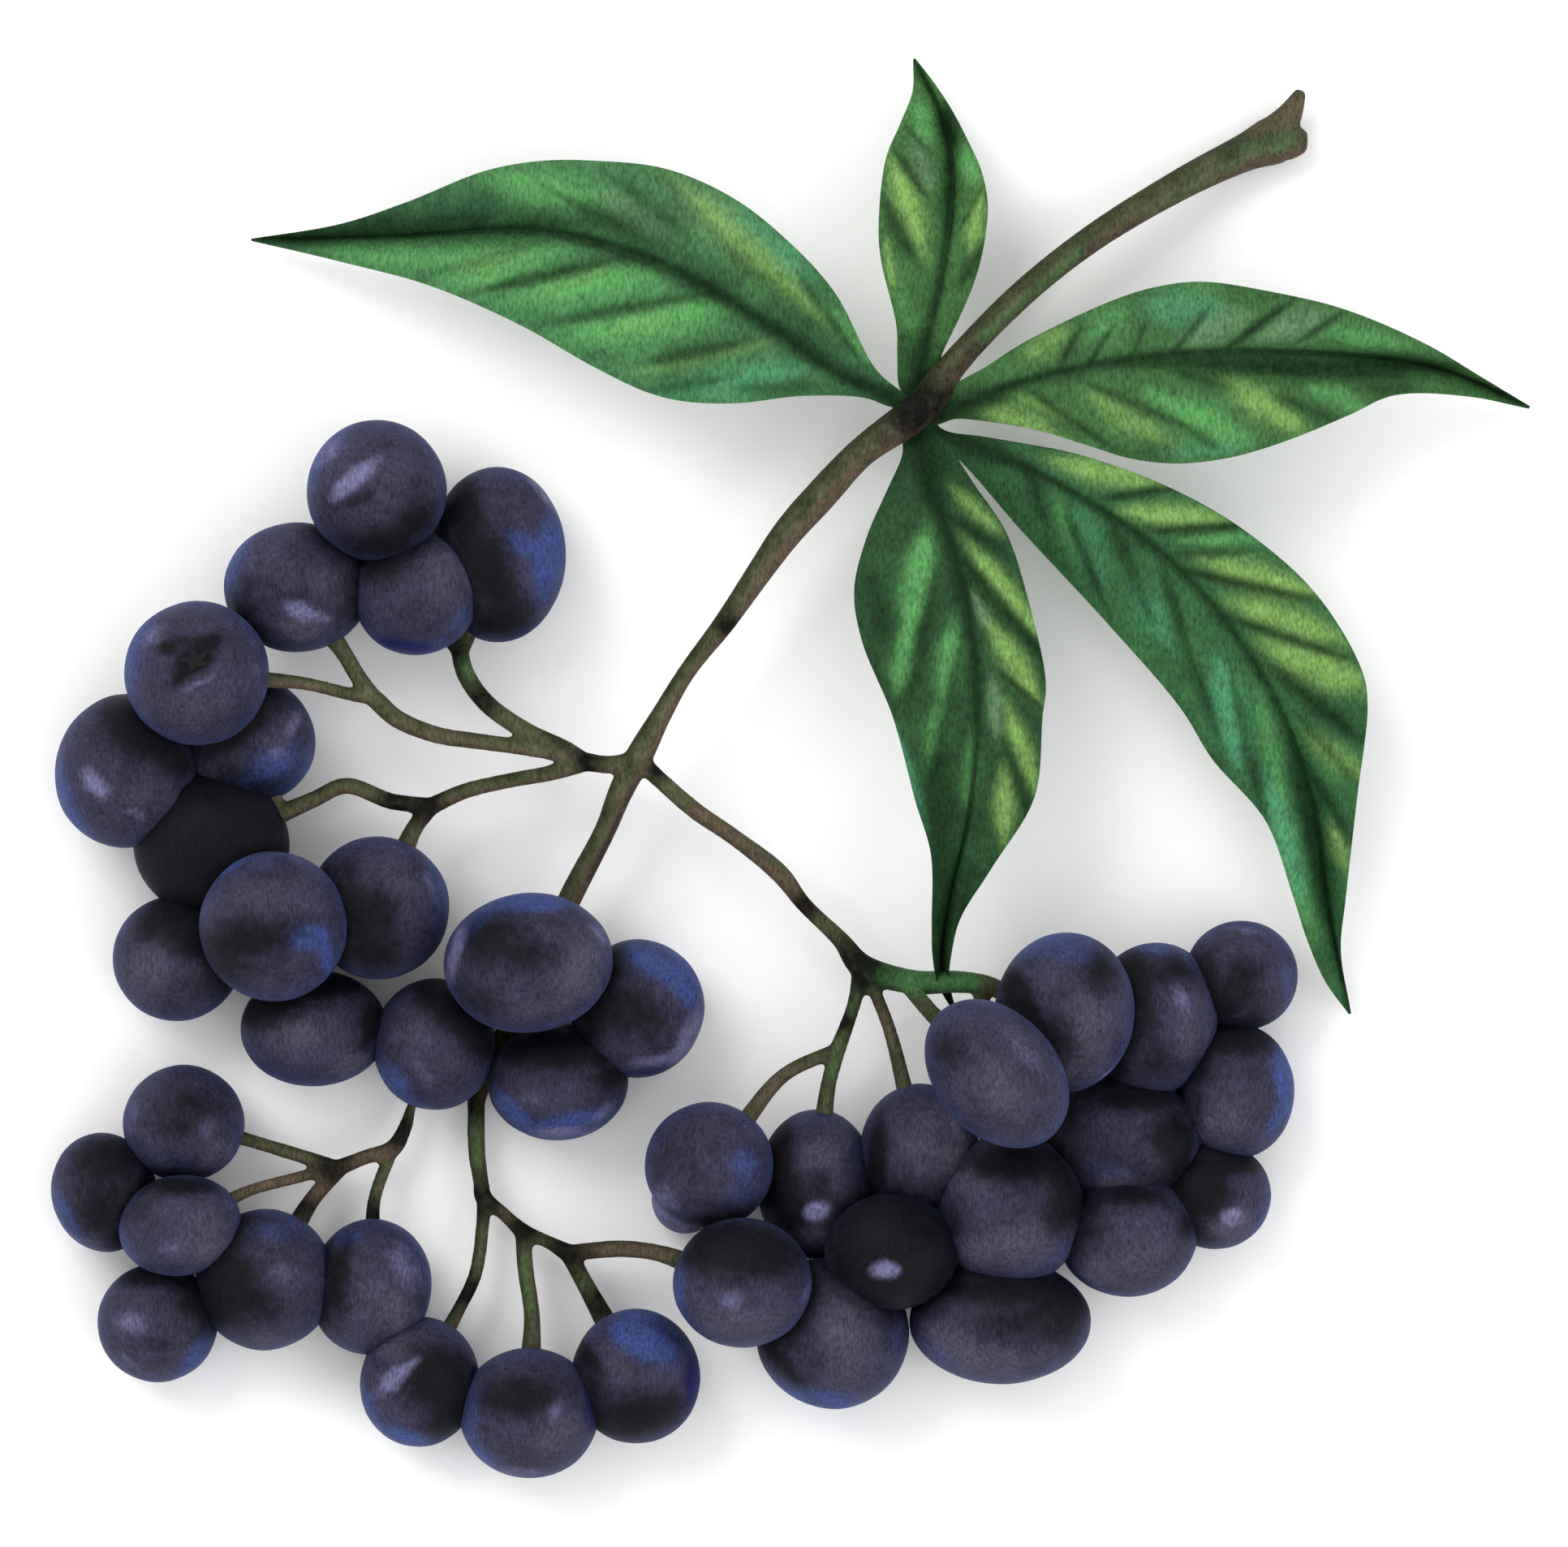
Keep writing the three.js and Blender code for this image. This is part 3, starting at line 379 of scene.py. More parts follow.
    35: {"light": [[68.6, 72.6, 1.6, 0.7, 0, 0.9]],
        "dark": [[71.8, 70, 1.2, 1.2, 0, 0.9], [70.2, 67.6, 2.6, 0.7, 0, 1],
            [72.6, 70.8, 1.8, 0.6, 80, 1.1]], "blue": [[68.4, 72, 1.8, 0.6, -5, 0.5]]},
    36: {"dark": [[73.8, 73, 1.6, 1.8, 0, 1.3], [76.4, 71.6, 1.6, 0.5, 0, 1.1]],
        "pale": [[75.8, 74.9, 0.6, 0.48, 0, 1]], "light": [[75.9, 75.4, 1.4, 0.9, 0, 0.8]]},
    37: {"light": [[67.2, 78.2, 1.2, 0.8, 0, 0.8], [70, 77.4, 2, 1.4, 0, 0.6]],
        "dark": [[69.8, 73.5, 2.4, 0.6, 0, 0.9], [73, 75.4, 0.9, 0.5, 80, 0.8]],
        "pale": [[67.1, 78.6, 0.9, 0.3, -30, 0.4]]},
    38: {"light": [[59.6, 71.8, 1.2, 1, 0, 0.9], [59.6, 77.2, 1.1, 0.9, 0, 0.9],
            [62.6, 76.4, 2.2, 1.2, 0, 0.6]],
        "dark": [[65.2, 74.6, 1, 1.3, 0, 0.8], [62.6, 71.5, 3.2, 0.9, 0, 1.2],
            [65.8, 73.4, 1.6, 0.6, -60, 1.1]], "blue": [[65.2, 77.2, 1.3, 0.5, 45, 0.5]]},
    39: {"dark": [[55.3, 76.9, 4, 3.6, 0, 1.4]], "pale": [[54.5, 78.05, 0.72, 0.42, 0, 1.2]],
        "light": [[54.6, 76.2, 0.5, 0.6, 0, 0.3]]},
    40: {"dark": [[45.3, 76.7, 3.6, 1.4, -8, 1.3]],
        "pale": [[45, 79.9, 0.8, 0.7, 0, 0.6], [49.6, 79.4, 1, 0.25, 65, 0.4]],
        "blue": [[41.8, 79.2, 1.6, 0.35, 90, 0.9]], "light": [[45.4, 81.2, 2.4, 0.8, 0, 0.6]]},
    41: {"dark": [[47.9, 83.4, 2.4, 0.5, -50, 0.9]], "light": [[52, 82, 1.4, 2.4, 0, 0.8]],
        "blue": [[50, 85.9, 2.4, 0.45, -5, 1.1], [55.4, 81.8, 1.8, 0.5, 65, 0.5]]},
    42: {"dark": [[62.2, 81.4, 2, 1, 0, 0.7], [65.4, 81.4, 1.2, 1.2, 0, 0.7],
            [61.6, 79.3, 3.8, 0.8, 0, 1], [65.9, 79.7, 1.6, 1, 0, 1.2]],
        "light": [[59, 83, 2.4, 0.9, -20, 0.9], [62.6, 83.4, 2.4, 0.7, 10, 0.5]],
        "blue": [[57.9, 83.3, 1.8, 0.4, -40, 0.5]]},
}

# Rays of the cluster, thick end first: u, v, height of the axis, radius.
RAYS = [
    # Main stem, from the torn heel over the leaf node and the fork to the lower stems.
    [
        [79.3, 8.35, 1.35, 1.2], [78.5, 8.65, 1.3, 1.5], [76.75, 9.4, 1.6, 1.2],
        [73, 11.25, 2.4, 1], [67.25, 14.75, 3.7, 0.86], [62.75, 18.35, 4.8, 0.84],
        [58.75, 22.5, 6, 0.88], [56.7, 25.2, 6.5, 1.15], [53.05, 27.95, 6.6, 0.95],
        [50.55, 30.6, 6.6, 1.02], [48.5, 32.9, 6.5, 0.95], [46.65, 35.5, 6.4, 0.8],
        [44.65, 38.4, 6.2, 0.68], [42.35, 41.4, 6, 0.56], [40.8, 44, 5.8, 0.65],
        [39.4, 46.6, 5.6, 0.86], [38.3, 48.7, 5.3, 0.78], [37.35, 51.05, 4.8, 0.68],
        [35.3, 55, 3.7, 0.74], [33.6, 58.6, 2.7, 0.68], [31.9, 62, 1.8, 0.6],
        [30.2, 65.4, 1.15, 0.55], [29.35, 67.9, 1.3, 0.55],
    ],
    # Pointed splinter and rounded lobe of the torn heel.
    [[77.9, 8.9, 1.6, 1.3], [79.35, 7.2, 1.6, 0.85], [80.15, 5.6, 1.7, 0.34]],
    [[78.2, 8.7, 1.5, 1.3], [79.7, 8.75, 1.45, 1.1], [80.5, 8.8, 1.4, 0.6]],
    # Right ray, over the right hub and on below the right bunch.
    [
        [39.4, 46.8, 5.6, 0.6], [40.15, 47.55, 5.6, 0.54], [42.75, 49.85, 5.6, 0.55],
        [45.35, 51.65, 5.5, 0.53], [48.05, 53.8, 5.4, 0.6], [49.5, 55.65, 5.3, 0.5],
        [51.8, 57.9, 5.2, 0.56], [53.1, 59.5, 5.2, 0.8], [56.2, 60.45, 5.1, 0.76],
        [59.1, 60.45, 5, 0.7], [61.2, 60.8, 4.6, 0.6], [63.4, 62.4, 3.3, 0.5],
        [65.6, 65, 1.9, 0.46], [68.5, 66.8, 1.2, 0.42], [72.3, 68, 1.1, 0.4],
        [73, 71, 1.1, 0.36],
    ],
    # Hidden ray below the right bunch.
    [
        [60.2, 60.6, 4.8, 0.5], [60.9, 63.5, 3.2, 0.46], [61.2, 67.5, 1.8, 0.42],
        [60.4, 71, 1.2, 0.4], [58.1, 74.3, 1.2, 0.38], [58, 77.4, 1.2, 0.36],
    ],
    # Twig from the right hub towards the middle.
    [[53.1, 59.4, 5.2, 0.6], [52.6, 61.8, 5.1, 0.44], [51.6, 64.6, 4.9, 0.52]],
    # Left ray and its three twigs.
    [[39.2, 46.9, 5.6, 0.6], [37.45, 47.1, 5.6, 0.56], [35.9, 46.9, 5.6, 0.6]],
    [
        [35.9, 46.9, 5.6, 0.62], [34.9, 46.25, 5.6, 0.62], [32.45, 45.05, 5.4, 0.58],
        [30.05, 43.35, 5, 0.58], [28.75, 41.55, 4.5, 0.58], [28.25, 39.6, 3.9, 0.54],
    ],
    [
        [35.4, 46.6, 5.6, 0.5], [32.25, 46.05, 5.6, 0.5], [29.35, 45.65, 5.5, 0.52],
        [27.05, 45.3, 5.4, 0.54], [24.55, 44.3, 5.2, 0.58], [23.2, 43.1, 5, 0.6],
    ],
    [
        [35.9, 47.1, 5.6, 0.52], [34.1, 47.6, 5.5, 0.5], [31.35, 48.1, 5.3, 0.48],
        [28.65, 48.75, 5, 0.5], [26.65, 49.65, 4.7, 0.56],
    ],
    # Lower stems: to the lower left and to the bottom.
    [
        [30.2, 65.4, 1.15, 0.5], [28.2, 65.9, 1.2, 0.42], [26.2, 66.4, 1.4, 0.36],
        [25.45, 67.9, 1.8, 0.3], [25, 69.4, 2, 0.44], [24.2, 70.75, 2.1, 0.55],
        [22.7, 71.2, 2.3, 0.47],
        [20.9, 71.9, 2.5, 0.52],
    ],
    [
        [29.35, 67.4, 1.3, 0.55], [29.4, 71, 1.7, 0.55], [29.65, 72.75, 2, 0.5],
        [29.8, 73.7, 2.1, 0.55], [31, 74.7, 2.3, 0.42], [32.25, 75.8, 2.5, 0.5],
        [33.75, 76.45, 2.6, 0.42], [35.05, 77.15, 2.7, 0.6],
    ],
]

# Berry stalks: the berry's number, the radius, where it leaves a ray with its height,
# then the places it bends through. It ends in the berry's side.
STALKS = [
    [1, 0.46, [28.3, 39.9, 4], [27.2, 34.5]],
    [2, 0.5, [28.4, 40.3, 4.1]],
    [4, 0.5, [28.3, 40, 4]],
    [3, 0.53, [23.2, 43.1, 5], [22.2, 41.8], [21.3, 40.3]],
    [5, 0.42, [23.2, 43.1, 5], [21.5, 42.75], [19, 42.15]],
    [8, 0.52, [26.65, 49.65, 4.7], [24.15, 49.35], [21.4, 48.4], [19.4, 49.25]],
    [7, 0.46, [17.2, 49.6, 4.3]],
    [6, 0.44, [17.4, 49.7, 4.3], [13.8, 49]],
    [11, 0.54, [26.65, 49.65, 4.7], [25.6, 51]],
    [10, 0.46, [17.2, 49.8, 4.3], [16.2, 52]],
    [9, 0.42, [17.2, 49.8, 4.2], [15.8, 53], [14.2, 56]],
    [12, 0.36, [26.2, 66.4, 1.4], [24.6, 65]],
    [13, 0.44, [31.9, 62, 1.8]],
    [14, 0.52, [34.8, 56, 3.4]],
    [15, 0.5, [34, 57.8, 2.9], [36.3, 60.2]],
    [16, 0.48, [31.2, 63.4, 1.5]],
    [17, 0.45, [20.9, 71.9, 2.5], [18.35, 71.1], [15.05, 70.1]],
    [19, 0.38, [20.9, 71.9, 2.5], [18.35, 72.5], [15.4, 73.3]],
    [21, 0.53, [20.9, 72, 2.5], [19.25, 73.9]],
    [18, 0.38, [14, 73.5, 3.6], [11.5, 73]],
    [20, 0.38, [13.8, 73.7, 3.6], [12.4, 77]],
    [22, 0.42, [24.2, 70.75, 2.1], [23.1, 73.9]],
    [23, 0.43, [29.8, 73.7, 2.1], [29.75, 75.5], [29.3, 78.5], [28.2, 80.8]],
    [24, 0.52, [32.25, 75.8, 2.5], [32.4, 78.1], [32.8, 81]],
    [25, 0.56, [35.05, 77.15, 2.7], [36.1, 79.1]],
    [40, 0.54, [35.05, 77.15, 2.7], [38.25, 76.85], [40.6, 77.1]],
    [28, 0.5, [51.6, 64.6, 4.9], [51, 66.9]],
    [26, 0.46, [51.6, 64.6, 4.9], [48.25, 66.2]],
    [27, 0.34, [47, 67.6, 4.6], [45.4, 70.4]],
    [29, 0.42, [53.4, 59.9, 5.2], [54.75, 63.3]],
    [30, 0.54, [55.8, 60.5, 5.1], [57.4, 62.4]],
    [31, 0.44, [63.4, 62.4, 3.3]],
    [32, 0.42, [67.2, 66.2, 1.5]],
    [33, 0.36, [72.3, 68, 1.15], [74, 64.7]],
    [34, 0.4, [72.3, 68, 1.1]],
    [35, 0.4, [72.5, 68.6, 1.1]],
    [36, 0.38, [73, 71, 1.1]],
    [37, 0.38, [73, 71, 1.1], [72.2, 73.4]],
    [38, 0.42, [60.4, 71, 1.2]],
    [39, 0.38, [58.1, 74.3, 1.2]],
    [42, 0.42, [58, 77.4, 1.2]],
    [41, 0.42, [58, 77.4, 1.2]],
]

# Where the bark is darkened: u, v and radius of each place.
KNOTS = [
    [56.7, 25.3, 1.9], [40.7, 47.4, 0.9], [36.3, 47, 1.1], [53, 59.5, 2.4],
    [26.2, 49.6, 1.4], [24.6, 49.3, 1.5], [24.6, 69.7, 1.3], [20.6, 71.7, 1.4],
    [29.8, 73.8, 1.5], [35, 77.1, 1.6], [32.3, 75.6, 1.2],
    [28.9, 68, 1.2], [29.8, 43.2, 1.2], [18.6, 74.3, 1.1],
    [22.9, 74.8, 1.2], [28.9, 79.6, 1.4], [37, 80.2, 1.2], [28.2, 39.8, 1.2],
    [44.9, 38.6, 0.9], [51.9, 62.9, 0.9], [49.5, 55.8, 1],
]

# Where the bark is fresh green, dark or brown: from u, v to u, v, half width and strength.
BARK_TINTS = {
    "fresh": [
        [54, 59.9, 59.5, 60.6, 0.9, 0.9], [77, 9.3, 79.5, 8.8, 0.5, 0.22],
        [78.4, 9.2, 79.1, 9, 0.3, 0.45],
        [70.5, 13.2, 77, 9.7, 0.3, 0.22], [60.5, 21, 66.5, 15.6, 0.3, 0.5],
        [53, 61, 51.4, 66, 0.4, 0.4], [29, 41.5, 28.3, 39.5, 0.3, 0.4],
        [29.3, 68.5, 29.5, 71.5, 0.3, 0.25], [32.4, 77.5, 32.7, 80.5, 0.3, 0.25],
    ],
    "dusk": [
        [39.2, 48.8, 36.6, 54.2, 0.35, 0.75], [33.4, 44.3, 36.2, 46.6, 0.55, 0.7],
        [54.4, 27.1, 60.4, 21.4, 0.45, 0.55], [55.5, 26.2, 58.1, 23.9, 0.7, 0.85],
    ],
    "brown": [
        [43, 50, 49.5, 55.7, 0.6, 0.8], [20, 72.2, 15, 73.3, 0.5, 0.9],
        [20.5, 72.2, 18.5, 74.5, 0.5, 0.9], [35.5, 77.1, 41, 77, 0.5, 0.9],
        [48.6, 66, 45.5, 68, 0.5, 0.6], [53.4, 60.5, 54.6, 64, 0.4, 0.6],
        [24.6, 70.4, 21.5, 72, 0.5, 0.9], [29.7, 73, 31.5, 75, 0.4, 0.6],
        [77.5, 8, 79.5, 6.5, 0.5, 0.5], [52.5, 29, 46.5, 36, 0.3, 0.5],
        [24.5, 44.3, 29.5, 45.6, 0.3, 0.4],
    ],
}

# Leaves: points from the knot on the stem to the tip on the sheet, and the height of the
# upper face along the midrib, evenly spaced. Every blade has its own ground colour.
LEAVES = {
    "leaf_left": {
        "midrib": [[56.4, 25], [54.9, 24.5], [52.3, 23.5], [46.6, 19.7], [40.9, 16.4],
                   [33.7, 14.4], [25.1, 14.6], [15.5, 14.8]],
        "left": [[56.3, 25.4], [54.8, 25.15], [53.2, 24.6], [49.45, 24.5], [45.4, 24.95],
                 [42.25, 24.85], [39.95, 24.3], [36.5, 22.65], [32.2, 20.2],
                 [26.5, 17.7], [21, 16.2], [15.5, 14.87]],
        "right": [[56.3, 24.7], [55.3, 24.05], [53.9, 22.8], [51.45, 18.2], [48.6, 15.05],
                  [45.15, 12.35], [41.1, 10.6], [36.8, 10.1], [33.35, 10.1], [29.9, 10.7],
                  [25.05, 12.6], [21, 13.9], [15.5, 14.73]],
        "heights": [6.4, 8.2, 8.8, 8.1, 6.4, 4.2, 1.4],
        "waves": 2.6, "ground": [80, 138, 86],
    },
    "leaf_top": {
        "midrib": [[56.6, 25], [56.7, 23.6], [57, 21.5], [57.8, 18.2], [58.6, 13.05],
                   [58.7, 10.35], [57.9, 6.9], [56.3, 3.65]],
        "left": [[56.2, 25], [55.4, 24], [55.25, 22], [55.2, 20.2], [54.25, 16.15],
                 [54.1, 14.15], [54.55, 9.9], [55.45, 7.7], [56.2, 5.7], [56.25, 3.68]],
        "right": [[57, 24.9], [57.6, 23.4], [58, 21.95], [59.15, 19.5],
                  [60.05, 17.3], [60.6, 15.05], [60.8, 12.6], [60.4, 10.6], [59.7, 9],
                  [58.7, 7], [57.6, 5.25], [56.38, 3.62]],
        "heights": [5.8, 6.7, 7.2, 6.5, 4.9, 3, 1.1],
        "waves": 1.9, "ground": [74, 124, 68],
    },
    "leaf_right": {
        "midrib": [[57, 25.9], [59.3, 25], [62.95, 23.6], [71.2, 22.05], [79.4, 21.8],
                   [87.1, 22.35], [90.6, 23.4], [94.2, 25.1]],
        "left": [[57.2, 25.2], [58.7, 23.8], [60.6, 22.75], [62.95, 21.25], [68.45, 18.65],
                 [71.2, 17.8], [73.95, 17.5], [78.05, 18.1], [82.7, 19.2],
                 [87.65, 21.25], [91.2, 23.3], [94.25, 25.05]],
        "right": [[57, 26.5], [57.9, 26.2], [58.8, 25.9], [60.3, 26], [63.8, 26.6],
                  [66.8, 27.5], [69.55, 28.35], [72.55, 28.65], [75.85, 28.25],
                  [79.4, 27.15], [83, 25.65], [85.75, 24.45], [90.4, 24.5],
                  [94.17, 25.2]],
        "heights": [6.2, 8.3, 8.9, 8.4, 6.8, 4.2, 1.3],
        "waves": 2.8, "ground": [74, 124, 70],
    },
    "leaf_lower_right": {
        "midrib": [[57, 26.1], [58.7, 27.1], [61.8, 28.25], [67.7, 31.4], [73.1, 35.65],
                   [77.85, 42.05], [80.65, 48.9], [81.75, 55.5], [83.15, 62.45]],
        "left": [[57.3, 25.9], [58.2, 26.6], [60.4, 26.95], [63, 27.4], [66.05, 28],
                 [71.25, 29.8], [76.2, 32.5], [80.9, 36.6], [83.75, 41.35],
                 [84.1, 43.45], [83.5, 49.1], [82.8, 55.5], [82.55, 58.55], [83.22, 62.42]],
        "right": [[57, 26.7], [58.5, 27.9], [59.9, 29.3], [62.5, 32.35], [68.4, 38.75],
                  [72.65, 43.7], [74.55, 46.75], [77.85, 50.55], [79.5, 55],
                  [80.45, 57.85], [81.6, 60.45], [83.08, 62.48]],
        "heights": [6.1, 7.8, 8.4, 8, 6.8, 5, 3, 1.2],
        "waves": 3.1, "ground": [60, 112, 66],
    },
    "leaf_lower": {
        "midrib": [[56.5, 25.8], [56.7, 27.9], [58.25, 32.6], [59.55, 37.3],
                   [60.15, 43.8], [59.65, 50.05], [58.5, 55], [57.95, 58.5], [58.1, 60.5],
                   [58.85, 62.4]],
        "left": [[57.2, 25.8], [58.3, 27], [58.85, 28.1], [59.9, 29.8], [61.9, 32.8],
                 [63.3, 37.1], [64.35, 42.05], [64.15, 44.15], [63.65, 49.1],
                 [61.1, 53.35], [59.1, 56.6], [58.6, 58.6], [58.45, 60.3], [58.92, 62.38]],
        "right": [[56, 25.8], [55.6, 26.8], [55.55, 28.1], [54.7, 30.1], [53.35, 33.2],
                  [52.6, 36.4], [53.05, 39.45], [54.95, 44.15], [56.35, 49.35],
                  [57.3, 52.6], [57.35, 57], [57.4, 58.8], [57.75, 60.6], [58.78, 62.43]],
        "heights": [6, 7.7, 8.8, 9.2, 9.1, 8.4, 6.6, 3.1],
        "waves": 2.7, "ground": [48, 88, 50],
    },
}

